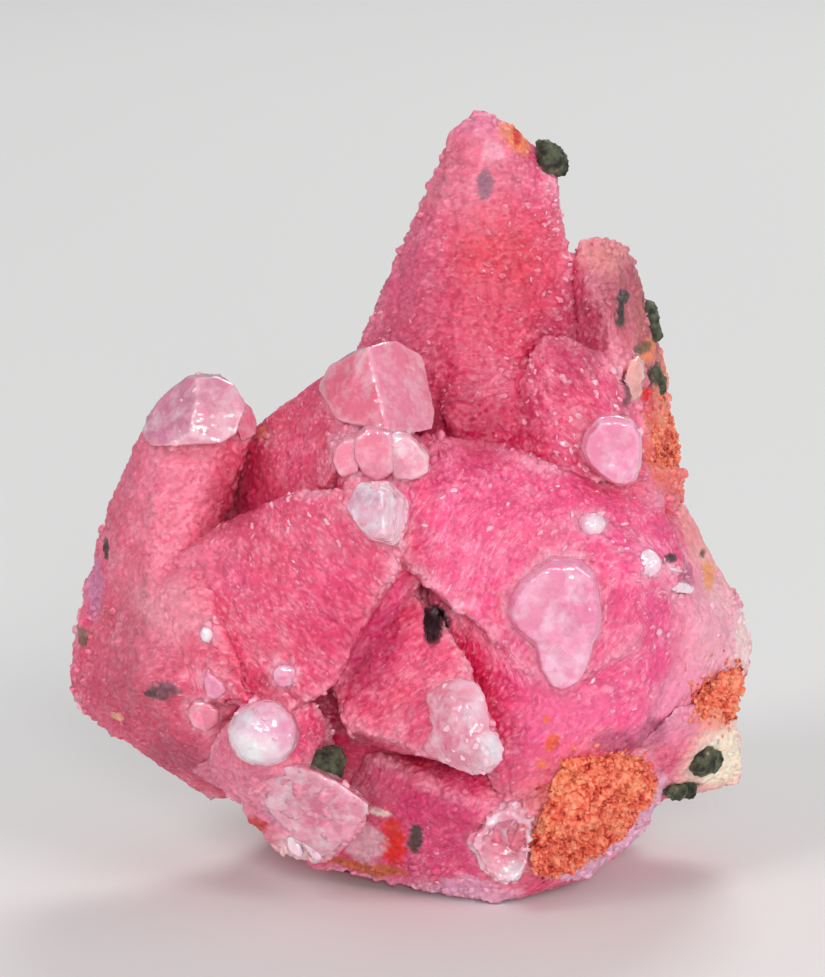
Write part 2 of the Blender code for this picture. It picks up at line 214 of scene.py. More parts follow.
# Places and sizes below are in millimetres.
# Each pink crystal: its corners, the angle at which its druse runs across the showy side in degrees,
# how much its colour leans from magenta to coral, how many pale flecks it carries and how pale its
# edges are.
pinkCrystals = {
    "top": {"streak": 5, "coral": 0.5, "flecks": 1, "paleEdges": 0.7, "corners": [
        (4, 6, 77), (7, 6, 78.8), (9, 7, 77.8), (14, 8, 73), (14.5, 7, 71), (16, 6, 64), (18, 4, 45),
        (-10, 8, 44.5), (4, -3, 46.5), (6, 4, 76.5), (8.5, 4, 76.5), (0.2, 2.6, 60), (11, 1.9, 60),
        (-2.4, 1.8, 50), (11.2, 0.2, 50), (2.9, 3.8, 70), (10.5, 3.9, 70), (7, 9, 77.5), (14, 12, 72),
        (13.5, 18, 42.5), (-5.5, 18, 42.5)]},
    "top_foot": {"streak": 5, "coral": 0.4, "flecks": 0.4, "corners": [
        (3, -4, 49), (4, -4.5, 43), (12, -3, 43), (18, 3, 46), (17, 3, 52), (2, 2, 52), (10, -1, 54),
        (3, 6, 42), (17, 8, 42)]},
    "right": {"streak": 60, "coral": 0.8, "flecks": 0.5, "corners": [
        (16.6, 8, 65), (18, 9, 65.4), (20.5, 9.5, 64.9), (22.8, 10.5, 62.8), (23.6, 11.5, 60),
        (24, 12, 57), (26, 12, 51), (26.5, 12, 38.5), (27, 10, 31.5), (27, 5, 39.5), (26.4, 3, 40.5),
        (15, 8, 63), (13, 5, 42), (20, 2, 56.5), (21.5, 0, 42), (21.5, 15, 61.5), (26, 22, 37),
        (15.5, 20, 37.5)]},
    "right_front": {"streak": -45, "coral": 0.45, "flecks": 0.5, "corners": [
        (12.5, -1, 57), (14.5, 0, 57), (19.5, 1, 54.5), (24.5, 2, 45.5), (25.5, 2, 39.5),
        (6.5, -1, 43), (14.5, -8, 41.5), (19.5, -7, 43.5), (15, 6, 54), (24.5, 12, 39.5), (9, 10, 40)]},
    "upper_left": {"streak": -40, "coral": 0.6, "flecks": 0.4, "corners": [
        (-6.5, -4, 55), (-4, -5, 56), (-1.5, -6, 53), (-2, -9, 48.5), (-6.5, -12, 48), (-8, -12, 44.5),
        (-18, 4, 45), (-19, 2, 36.5), (-11, -4, 34.5), (-4, 2, 54), (-2.5, 3, 47.5), (-16.5, 10, 45),
        (-11.5, 8, 32)]},
    "centre_left": {"streak": -38, "coral": 0.5, "flecks": 0.35, "corners": [
        (-19, -4, 38.5), (-11, -11, 43.5), (-6.5, -15, 44.5), (-1, -16, 44.5), (-0.5, -18, 39),
        (-1.5, -17, 37), (-7.5, -15, 24.5), (-12, -14, 21.5), (-22, -9, 21.5), (-30.5, -3, 26),
        (-28, -3, 32.5), (-16.5, 6, 34.5), (-3.5, 0, 38), (-6.5, 0, 21), (-27, 6, 23)]},
    "centre_right": {"streak": 62, "coral": 0.15, "flecks": 0.5, "corners": [
        (-0.5, -8, 48.2), (7, -7, 47.5), (13.5, -8, 45), (16.5, -8, 43.5), (24.5, -5, 41),
        (-2.4, -11.4, 44.5), (-1.6, -14.2, 37), (4, -15, 32), (8.5, -16, 28.5), (22, -14, 37),
        (27, -9, 35.5), (22, -14, 29), (14.5, -16, 23.5), (25.5, 8, 38), (3, 6, 43.5), (3, 0, 29.5),
        (24, 4, 20)]},
    "lower_centre": {"streak": 35, "coral": 0.55, "flecks": 0.3, "corners": [
        (-1, -11, 34.5), (1.5, -12, 32.5), (5, -15, 28.5), (7, -19, 25), (8.5, -22, 21),
        (7.5, -22, 18.5), (5.5, -22, 18), (-2, -17, 19), (-7, -13, 20), (-8, -12, 22.5),
        (-6.5, -11, 25), (-3, -4, 30.5), (6.5, -8, 17), (-5.5, -4, 16)]},
    "arm": {"streak": 18, "coral": 0.65, "flecks": 0.5, "paleEdges": 0.25, "corners": [
        (-26.5, 0, 48.5), (-24.5, 0, 50.5), (-22, 1, 52.5), (-19, 1, 52.5), (-17, 1, 51),
        (-15.5, 2, 47), (-16, 0, 45.5), (-18.5, -1, 38), (-21, -3, 30.5), (-28, 3, 44.5), (-32, 4, 36),
        (-34, 5, 28.5), (-30.5, 0, 25.5), (-22, -4, 49), (-25, -5, 41), (-26, -6, 31), (-21.5, 6, 51),
        (-18.5, 9, 38), (-32, 9, 27.5), (-28.2, -1.5, 41), (-21, -4, 41), (-30.3, -1.4, 33),
        (-22.6, -5, 33), (-25.4, -2.4, 47), (-19, -3, 47)]},
    "lower_left": {"streak": 25, "coral": 0.6, "flecks": 0.4, "corners": [
        (-32, 4, 36), (-33.5, 4, 29.5), (-34.5, 4, 25.5), (-35, 3, 20.5), (-34.5, 2, 18),
        (-31, 1, 15.5), (-28.5, 1, 14), (-25.5, 0, 12), (-20, -2, 9), (-26, -7, 31), (-28, -7, 22),
        (-21, -10, 22), (-19.5, -9, 14.5), (-11, -8, 21.5), (-12.5, -4, 12), (-32.5, 10, 25),
        (-34.5, 8, 17), (-22, 6, 8), (-13.5, 8, 17)]},
    "ball_body": {"streak": 15, "coral": 0.4, "flecks": 0.3, "corners": [
        (-22, -8, 14), (-19.5, -12, 19), (-16.5, -14, 23), (-10, -12, 23), (-8, -10, 20),
        (-7.5, -8, 14.5), (-11, -14, 14), (-17, -10, 10.5), (-15.5, -18, 18), (-18.5, -2, 13.5),
        (-9.5, -2, 15.5)]},
    "foot": {"streak": -15, "coral": 0.5, "flecks": 0.3, "corners": [
        (-17.5, -14, 15.5), (-10.5, -16, 16.5), (-5.5, -16, 13.5), (-4, -14, 11.5), (-6.5, -13, 7.5),
        (-9.5, -10, 4.5), (-14, -9, 6), (-17, -10, 10.5), (-15.5, -9, 8.1), (-12.4, -9, 5.5),
        (-11.5, -4, 7.5), (-8.5, -3, 4.5)]},
    "bottom": {"streak": 50, "coral": 0.2, "flecks": 0.6, "corners": [
        (-4.5, -6, 15.5), (-6, -6, 11), (-11.5, 0, 1.5), (-1.5, -4, 3), (3, -5, 1.5), (8, -8, 0),
        (1.5, -12, 14), (5.5, -14, 12.5), (10, -13, 12.5), (8.5, -10, 15.5), (-1.5, 6, 12),
        (-9.5, 8, 6.5), (11, 4, 11.5)]},
    "centre_body": {"streak": 40, "coral": 0.05, "flecks": 0.4, "corners": [
        (7.5, -15, 29), (9, -14, 17), (10, -14, 12), (12.5, -16, 23.5), (22.5, -12, 18.5),
        (23, -13, 36.5), (27.5, -8, 29.5), (18.5, -8, 11), (15, 0, 25.5), (25.5, 4, 11.5), (7, 0, 19),
        (1, -10.5, 33), (4, -12, 21), (8, -12.5, 12)]},
    "bottom_right": {"streak": 30, "coral": 0.3, "flecks": 0.3, "corners": [
        (10.5, -13, 17.5), (18.5, -12, 19), (23.5, -9, 16.5), (25.5, -5, 11.5), (25, -4, 9.5),
        (23, -4, 6), (19.5, -4, 3.5), (17, -5, 1.5), (12, -8, 1.5), (8, -8, 0), (10.5, -14, 10.5),
        (18.5, -13, 12.5), (11, 6, 11), (24.5, 10, 7), (19.5, 8, 0)]},
    "right_lobe": {"streak": 45, "coral": 0.25, "flecks": 0.5, "corners": [
        (27.4, 5, 38.4), (26, 8, 38.6), (27.8, 10, 37.4), (30.4, 3.5, 32.6), (33.5, 2, 28),
        (34.3, 1, 25), (34, 0, 23.5), (32.5, 0, 18.5), (23, -10, 36), (28.5, -8, 29.5), (28.5, -7, 23),
        (23.5, -9, 17.5), (20, -12, 32.5), (28.5, 14, 30), (34, 10, 23), (33.5, 12, 16), (21, 6, 28)]},
    "rim_bridge": {"streak": 30, "coral": 0.8, "flecks": 0.5, "paleEdges": 0.2, "corners": [
        (19, -7.3, 43.3), (24.3, -4.6, 41.4), (24.8, -1.4, 43.5), (26.8, 2.5, 42.2), (27.3, 5, 41.8),
        (22, -3, 44.6), (22, 4, 44), (27.6, 4, 39.5), (26.6, -2, 38.5), (21, 4, 37)]},
    "right_foot": {"streak": 20, "coral": 0.5, "flecks": 0.3, "corners": [
        (26.5, -8, 21), (24.5, -9.3, 19.3), (22.3, -10.4, 17.4), (24, -9.6, 18.8), (30, -5, 20),
        (32.5, 0, 18.5), (33.5, 2, 14.5), (33.5, 2, 11.5), (33.5, 3, 9.5), (29.5, 2, 9), (25, 0, 8.5),
        (27.5, -7, 20), (23.5, -9, 17.5), (23, -6, 12.5), (30, 12, 16), (33.5, 12, 8.5), (25, 14, 5.5)]},
    "left_bridge": {"streak": -20, "coral": 0.6, "flecks": 0.4, "paleEdges": 0, "corners": [
        (-26, -7.2, 31), (-28, -7.3, 22), (-21, -10.2, 21.5), (-22, -9.4, 33), (-19, -10.6, 30),
        (-17, -12, 26), (-15, -13.4, 22), (-27, -5, 33), (-24, -4, 22), (-20, -6, 36)]},
    "recess": {"streak": 45, "coral": 0.1, "flecks": 0.2, "corners": [
        (-7.5, -11.5, 46), (-6.5, -13.2, 44.5), (-8, -11.5, 22), (-6, -12.2, 26), (-4, -12.5, 30),
        (-1, -12.8, 35.5), (0, -13, 39), (-1.5, -13.8, 42.5), (-5, -11, 47.5), (1, -9, 47),
        (1.5, -11, 42), (1, -12, 34), (0, -8, 22), (-8, -4, 22), (-3, 0, 46), (1, 0, 34)]},
    "core": {"streak": 0, "coral": 0.5, "flecks": 0.2, "corners": [
        (-27, 2, 27), (-18, 0, 38), (2, -4, 46), (5, 2, 56), (22, 2, 45), (28, 0, 30), (22, -4, 18),
        (8, -6.5, -2), (-6, 4, -2), (-20, 0, 16), (-18, 14, 30), (5, 16, 52), (22, 15, 34),
        (-5, 19, 41), (14, 19, 41), (19, 20, -2), (-12, 20, -2), (-12, 12, -2), (19, 10, -2),
        (0, -10, 30)]},
}

# The clear crystals with flat faces.
clearCrystals = {
    "upper_cap": [
        (-4.3, -8.5, 56.9), (-1.6, -6, 57.1), (1, -5, 55.3), (2.2, -7.5, 50.1), (2, -9, 48.7),
        (-1.2, -12.5, 48.8), (-2.4, -14, 49.7), (-6.1, -11, 49.7), (-8.4, -6, 54.4), (-9.3, -6, 52.4),
        (-8.2, -9, 51.3), (-7.5, -10.5, 50.1), (-6, -6, 55.9), (-1.2, 0, 55.2), (2, -1, 48.2),
        (-6.7, -2, 48.4)],
    "bright_cap": [
        (-6.5, -16.5, 42.7), (-5.5, -16.5, 44), (-5.3, -16, 45), (-2.9, -17, 45.3), (-2.1, -16, 45.2),
        (-1.3, -16.3, 44.3), (-0.3, -15.8, 43.2), (-0.5, -17, 40.7), (-1.6, -18, 39.1),
        (-2.7, -21, 41), (-4.2, -18.5, 39.9), (-5.7, -17.5, 41.6), (-2.9, -20.3, 44.4),
        (-4.1, -12, 42.4), (-1.4, -12, 42.4), (-1.7, -13, 39.7)],
    "arm_cap": [
        (-21.3, -2.5, 52.8), (-19.3, -2, 52.8), (-17.5, -2.5, 52), (-16.5, -3.5, 50.5),
        (-16.5, -4.5, 49.7), (-17.3, -5.9, 47.7), (-18.8, -6.5, 46.9), (-21.8, -6.4, 48),
        (-21.3, -5.4, 50.2), (-22.5, -0.5, 52.6), (-25.2, -0.5, 50.3), (-26.5, -0.5, 48.4),
        (-27, -1.5, 47.1), (-26, -3.9, 46), (-23.9, -5.6, 46.4), (-21.3, 1, 52.6), (-19.1, 2, 52.2),
        (-22.6, 6, 48.9), (-18, 6, 47.9), (-19.9, 4, 45.2)],
    "arm_bud": [
        (-17, 1, 50), (-16, 1, 49), (-15.5, 1, 47.5), (-15.5, 0, 46.5), (-17, -2, 46), (-17.5, -3, 48),
        (-17.5, 4, 47)],
    "upper_shard": [
        (24.9, -10.9, 35.5), (25.9, -10.2, 35.2), (27.1, -8.5, 34.4), (27.2, -8.1, 34.1),
        (26, -10, 34.7), (25, -10.8, 35.1), (26, -6, 35), (27, -5, 34.4)],
    "lower_shard": [
        (25.2, -10.6, 33.9), (26.6, -9.2, 33.6), (27.9, -7.3, 32.5), (27.4, -7.5, 31.9),
        (26, -9.4, 32.4), (25, -10.5, 33.1), (26, -6, 33.2), (27.2, -5, 32.4)],
    "lower_cap": [
        (1.1, -18.2, 24.6), (2.8, -18.3, 25.8), (4.6, -18.6, 26.5), (6.4, -19.2, 26.2),
        (7.2, -20.4, 24.9), (7.6, -22.3, 22.4), (7.4, -22.9, 20.6), (5.2, -22.6, 19.8),
        (2.2, -20, 20.8), (1.5, -19.4, 22.6), (3.4, -20.6, 24.6), (5.8, -21.2, 24.8),
        (6.2, -22.8, 22.8), (4, -21.8, 22.4), (4.5, -15, 24)],
    "lower_tip": [
        (0.5, -18.9, 19.3), (1.4, -19.7, 21.2), (2.6, -20.4, 22), (5, -22.2, 22.6), (7.3, -22.8, 22.4),
        (8.5, -22.6, 21.6), (8.8, -22.6, 20.4), (8.6, -22.8, 18.9), (7.4, -22.9, 17.9),
        (5.9, -22.6, 17.5), (3.3, -20.9, 18), (4.6, -23, 20.4), (6.9, -24.4, 20.8), (7, -24.2, 19.2),
        (5.5, -16, 19)],
}

# The clear crystals that show one broad face: its outline across and up, how deep it lies, how far it
# stands out, and how much it leans back and turns aside.
clearPlates = {
    "shield": {"depth": -16.8, "rise": 0.9, "outline": [
        (13.3, 37.6), (16, 37.7), (17.7, 36.3), (18.2, 33.7), (18.4, 31.7), (18.1, 30), (17, 28.9),
        (11.6, 29.1), (9.8, 30.4), (9, 32.1), (9.3, 33.8), (10.6, 35.5), (11.7, 36.5)]},
    "shield_foot": {"depth": -16.8, "rise": 0.8, "outline": [
        (11.5, 30.6), (11.8, 28.4), (12.4, 26.6), (13.4, 24.9), (14.4, 24.4), (16.2, 25.4),
        (17.2, 27.7), (17.7, 30.6)]},
    "right_button": {"depth": -9, "rise": 0.9, "outline": [
        (18.1, 50), (19.8, 50.3), (21.5, 49.8), (22.3, 48.6), (22.5, 46.8), (22.3, 44.8), (21.8, 43.4),
        (20.8, 43), (19.3, 43.4), (18, 44.4), (17, 45.5), (16.4, 46.8), (16.7, 48.3)]},
    "pale_middle": {"depth": -13.1, "rise": 0.7, "outline": [
        (-5.8, 48.8), (-4.5, 50), (-1.8, 49.8), (-1.9, 47.7), (-1.6, 45.4), (-3.5, 44.3), (-4.9, 45.2),
        (-5.8, 46.8)]},
    "pale_left": {"depth": -12.9, "rise": 0.6, "outline": [
        (-7.7, 47.8), (-6.6, 48.8), (-5.2, 49), (-4.9, 46.6), (-5.2, 45.2), (-7, 44.7), (-7.8, 46.3)]},
    "pale_right": {"depth": -12.9, "rise": 0.7, "outline": [
        (-2.3, 49.6), (-0.3, 49.2), (0.6, 48.3), (1.7, 46.9), (1.7, 45.2), (0, 44.5), (-1.9, 44.6),
        (-2.8, 47.5)]},
    "cup": {"depth": -12.6, "rise": 1, "outline": [
        (5.4, 7.9), (6, 9.1), (7.2, 10.9), (8.2, 11.8), (10, 12.5), (12, 12.1), (12.5, 11.2),
        (12, 9.5), (11.4, 7.7), (11.3, 5.9), (11.1, 4.7), (10, 3.7), (8.3, 3.9), (7, 5.1), (6.3, 6.7)]},
    "left_bud": {"depth": -10.7, "rise": 0.5, "outline": [
        (-21, 28.8), (-20.5, 29.5), (-19.7, 29.3), (-19.4, 28.5), (-19.9, 27.7), (-20.7, 27.8)]},
    "middle_bud": {"depth": -13.4, "rise": 0.7, "outline": [
        (-13.7, 25.7), (-13.1, 26.4), (-11.8, 26.4), (-11, 25.6), (-11.6, 24.3), (-12.8, 23.9),
        (-13.6, 24.6)]},
    "low_left_bud": {"depth": -10.2, "rise": 0.6, "outline": [
        (-22.4, 20.7), (-21.7, 21.9), (-20.1, 22.1), (-19, 20.9), (-19.1, 19.5), (-20.4, 18.4),
        (-21.7, 19.1)]},
    "low_left_facet": {"depth": -11.2, "rise": 0.7, "outline": [
        (-20.7, 24.5), (-20.1, 25.3), (-18.6, 24.1), (-18.2, 23.1), (-19.2, 22.1), (-20.3, 22.6)]},
    "side_oval": {"depth": 2.4, "rise": 0.5, "turn": 1.1, "outline": [
        (21.6, 53.5), (22.5, 54), (23.2, 53.3), (23.3, 51.8), (23.1, 50.2), (22.6, 49.2), (21.7, 49.1),
        (21.2, 50.2), (21.1, 51.9)]},
    "foot_shard": {"depth": -11.4, "rise": 0.6, "outline": [
        (-11.3, 9.4), (-10.4, 9.6), (-8.8, 5.9), (-9.5, 5.5), (-10.9, 7.6)]},
    "left_foot_shard": {"depth": -10.8, "rise": 0.6, "outline": [
        (-12.6, 8.2), (-11.6, 8.6), (-10.7, 6.3), (-11.3, 5.9), (-12.4, 6.9)]},
    "foot_plate": {"depth": -13.85, "rise": 0.2, "lean": -0.45, "turn": -0.27, "outline": [
        (-14.9, 15), (-12.3, 16.6), (-10.3, 16.5), (-7.3, 15.2), (-4.2, 12.8), (-4.4, 11.5),
        (-5.5, 9.9), (-6.8, 8.6), (-7.9, 6.8), (-9.1, 6), (-11.1, 7.9), (-12.8, 9.5), (-14.1, 10.9),
        (-15.2, 13.3)]},
}

# The rounded clear crystals: middle and half sizes.
clearRounds = {
    "ball": ((-14.4, -18, 20.65), (3.6, 3.5, 3.4)),
    "small_right": ((17.5, -11.9, 40), (1.5, 1.5, 1.2)),
    "side_glint": ((22.8, -12.5, 36.2), (1.6, 1.0, 1.5)),
}

# The broken mass behind: cleavage blocks as middle, axis, half thickness and turn in degrees.
backBlocks = {
    "back_upper": ((8, 12, 47), (0.2, 0.6, 1), 8, 10),
    "back_left": ((-17, 8, 27), (-0.4, 0.8, 0.5), 9, 40),
    "back_middle": ((2, 11, 28), (0.1, 1, 0.3), 11, 0),
    "back_right": ((17, 11, 30), (0.5, 0.9, 0.2), 9, 70),
    "back_low": ((2, 10, 10), (0.1, 0.7, 0.8), 11, 25),
    "back_low_right": ((15, 11, 11), (0.3, 0.7, 0.5), 7, 55),
}

# The green nodules: the balls each is made of, as middle and radius.
greenNodules = {
    "green_nodule_lower_left": [((-8.9, -10.9, 15.1), 2.2), ((-9.9, -10.7, 14.9), 1.6),
                                ((-8.0, -10.7, 15.9), 1.5)],
    "green_nodule_lower_right": [((29.2, -2.4, 13.5), 1.7), ((30.1, -1.6, 13.2), 1.3)],
    "green_nodule_underside": [((26.6, -1.3, 10.1), 1.2), ((28, -0.4, 10), 1.0)],
    "green_nodule_top": [((13.8, 7.4, 73.2), 1.6), ((14.4, 8, 72.5), 1.3), ((13.2, 8, 74.1), 1.1)],
    "green_nodule_side": [((23.9, 9.9, 56.4), 1.35), ((24.1, 10.2, 55.1), 1.35),
                          ((23.8, 10.2, 57.4), 1.1)],
    "green_nodule_edge": [((24.0, 7.8, 51.2), 1.3), ((24.5, 8.4, 50), 1.3)],
}

# The crumbly orange crusts, each the body round these corners.
orangeCrusts = {
    "orange_crust_lower": [
        (11.6, -13.2, 5.2), (11.2, -13.6, 8.2), (12.4, -14.5, 11.2), (13.4, -14.6, 14),
        (14.6, -14.4, 16.8), (17.4, -14.2, 17.2), (20.6, -12.9, 17.3), (23, -10.6, 16.2),
        (24.3, -8.4, 13.6), (24.9, -7.2, 11.6), (23.6, -7.6, 10), (21.6, -8, 7.8), (20.2, -7.2, 6),
        (18.2, -8.4, 5), (16.2, -8.6, 3.6), (13.8, -9.6, 3.2), (17.4, -14.4, 12), (15, -14.2, 8.5),
        (20.5, -11.8, 11.5), (13, -9, 6), (15, -9, 15), (22, -5, 14), (19, -4, 7)],
    "orange_crust_flank": [
        (28, -7.2, 20.8), (29, -6.8, 22.2), (30.8, -5.2, 23.2), (33.6, -0.9, 23), (33.3, -0.6, 20),
        (32.6, -0.7, 16.6), (31, -3, 18.6), (29.8, -4.6, 18.6), (28.4, -6.2, 19.4), (28, -3, 21),
        (31, 0.5, 20), (31.5, 1.5, 22)],
    "orange_crust_edge": [
        (23.9, 4.8, 48.2), (24.6, 8.2, 49.4), (24.5, 0.7, 44.8), (25.3, 0.9, 41), (27.3, 5.5, 40.6),
        (27.4, 10.5, 43.9), (26.4, 9.5, 47.5), (22.5, 5, 46), (24, 8, 42), (23.5, 9, 46)],
}


def roundCorners(middle, half):
    # a small body with many faces, close to round, with its axis out of the showy side
    turn = Vector((0, -1, 0.3)).to_track_quat("Z", "Y")
    corners = []
    # rings of corners: how high each stands in degrees, and how many it has
    for rise, count in ((90, 1), (58, 7), (28, 11), (0, 13), (-30, 11), (-90, 1)):
        for step in range(count):
            around = 2 * math.pi * (step + rise / 100) / count
            lift = math.radians(rise)
            corner = Vector((math.cos(around) * math.cos(lift), math.sin(around) * math.cos(lift),
                             math.sin(lift)))
            corners.append(Vector(middle) + (turn @ corner) * Vector(half))
    return corners


def plateCorners(depth, rise, outline, lean=0, turn=0):
    # a low crystal round the outline: a broad front face, sloping sides and a root 4 mm deep
    middle = np.mean(outline, axis=0)
    corners = []
    for share, level in ((1, depth), (0.86, depth - rise), (0.9, depth + 4)):
        for spot in outline:
            off = (np.array(spot) - middle) * share
            across, up = middle + off
            corners.append((across, level + turn * off[0] + lean * off[1], up))
    return corners


def blockCorners(middle, axis, half, roll):
    # the eight corners of a cleavage rhombohedron, whose faces point 45.4 degrees up its axis
    rise = math.radians(45.4)
    across = Matrix([(math.cos(a) * math.cos(rise), math.sin(a) * math.cos(rise), math.sin(rise))
                     for a in (0, 2 * math.pi / 3, 4 * math.pi / 3)]).inverted()
    turn = Vector(axis).to_track_quat("Z", "Y").to_matrix() @ Matrix.Rotation(math.radians(roll), 3, "Z")
    signs = [(a, b, c) for a in (-1, 1) for b in (-1, 1) for c in (-1, 1)]
    return [Vector(middle) + turn @ (across @ (Vector(sign) * half)) for sign in signs]


def startTree(name, sizes, **others):
    # a tree that takes a number for each of these sizes, other inputs by their kind, and a finish
    tree = bpy.data.node_groups.new(name, "GeometryNodeTree")
    tree.interface.new_socket("Geometry", in_out="OUTPUT", socket_type="NodeSocketGeometry")
    inputs = {"Geometry": "Geometry", **dict.fromkeys(sizes, "Float"), **others, "Finish": "Material"}
    for label, kind in inputs.items():
        tree.interface.new_socket(label, in_out="INPUT", socket_type="NodeSocket" + kind)
    add = partial(addNode, tree)
    return tree, add, add("NodeGroupInput").outputs


def endTree(add, geometry, finish):
    real = add("GeometryNodeRealizeInstances", {0: geometry})
    painted = add("GeometryNodeSetMaterial", {"Geometry": real, "Material": finish})
    add("NodeGroupOutput", {0: painted})


def druseTree():
    # raises a flat face into crystal grains that all lean one way, with larger lumps along its edges
    tree, add, given = startTree("druse", ("Grain size", "Stretch", "Relief", "Lean", "Lump size",
                                           "Lump height", "Knob size", "Knob height", "Swell",
                                           "Settle"))
    streak = add("GeometryNodeInputNamedAttribute", {"Name": "streak"}, data_type="FLOAT")
    place = add("GeometryNodeInputPosition")
    # the grains wander by up to 2.5 mm, are turned along the crystal, and each leans along it
    drift = add("ShaderNodeTexNoise", {"Vector": place, "Scale": 0.3, "Detail": 2.0})
    bent = add("ShaderNodeVectorMath", {0: drift.outputs["Color"], 1: (2.5, 2.5, 2.5), 2: place},
               operation="MULTIPLY_ADD")
    turned = add("ShaderNodeVectorRotate", {"Vector": bent, "Axis": (0, 1, 0), "Angle": streak},
                 rotation_type="AXIS_ANGLE")
    length = add("ShaderNodeMath", {0: given["Grain size"], 1: given["Stretch"]}, operation="MULTIPLY")
    sizes = add("ShaderNodeCombineXYZ", {0: length, 1: given["Grain size"], 2: given["Grain size"]})
    squeezed = add("ShaderNodeVectorMath", {0: turned, 1: sizes}, operation="DIVIDE")
    grains = add("ShaderNodeTexVoronoi", {"Vector": squeezed, "Scale": 1.0, "Randomness": 0.9})
    within = add("ShaderNodeVectorMath", {0: squeezed, 1: grains.outputs["Position"]},
                 operation="SUBTRACT")
    up = add("ShaderNodeSeparateXYZ", {0: within})
    leaning = add("ShaderNodeMath", {0: up.outputs["Z"], 1: given["Lean"], 2: 0.5},
                  operation="MULTIPLY_ADD")
    grain = add("ShaderNodeMath", {0: leaning, 1: grains.outputs["Distance"]}, operation="SUBTRACT")
    raised = add("ShaderNodeMath", {0: grain, 1: given["Relief"]}, operation="MULTIPLY")
    # lumps and knobs, highest on the rims
    rim = add("GeometryNodeInputNamedAttribute", {"Name": "rim"}, data_type="FLOAT")
    share = add("ShaderNodeMath", {0: rim, 1: 0.8, 2: 0.3}, operation="MULTIPLY_ADD")
    for label, where, softness, feature in (("Lump", place, {"Smoothness": 0.4}, "SMOOTH_F1"),
                                            ("Knob", bent, {}, "F1")):
        scale = add("ShaderNodeMath", {0: 1.0, 1: given[label + " size"]}, operation="DIVIDE")
        cells = add("ShaderNodeTexVoronoi", {"Vector": where, "Scale": scale, **softness},
                    feature=feature)
        bulge = add("ShaderNodeMath", {0: 0.45, 1: cells.outputs["Distance"]}, operation="SUBTRACT")
        part = add("ShaderNodeMath", {0: bulge, 1: share}, operation="MULTIPLY")
        raised = add("ShaderNodeMath", {0: part, 1: given[label + " height"], 2: raised},
                     operation="MULTIPLY_ADD")
    # a swell about 8 mm long
    slow = add("ShaderNodeTexNoise", {"Vector": place, "Scale": 0.12, "Detail": 1.0})
    slowRise = add("ShaderNodeMath", {0: slow, 1: 0.5}, operation="SUBTRACT")
    height = add("ShaderNodeMath", {0: slowRise, 1: given["Swell"], 2: raised},
                 operation="MULTIPLY_ADD")
    settled = add("ShaderNodeMath", {0: height, 1: given["Settle"]}, operation="SUBTRACT")
    normal = add("GeometryNodeInputNormal")
    move = add("ShaderNodeVectorMath", {0: normal, "Scale": settled}, operation="SCALE")
    tone = add("ShaderNodeSeparateXYZ", {0: grains.outputs["Color"]})
    # the materials read each grain's own tone and where its crest is
    stored = given["Geometry"]
    for name, value in (("tone", tone), ("ridge", grain)):
        stored = add("GeometryNodeStoreNamedAttribute",
                     {"Geometry": stored, "Name": name, "Value": value},
                     data_type="FLOAT", domain="POINT")
    moved = add("GeometryNodeSetPosition", {"Geometry": stored, "Offset": move})
    endTree(add, moved, given["Finish"])
    return tree


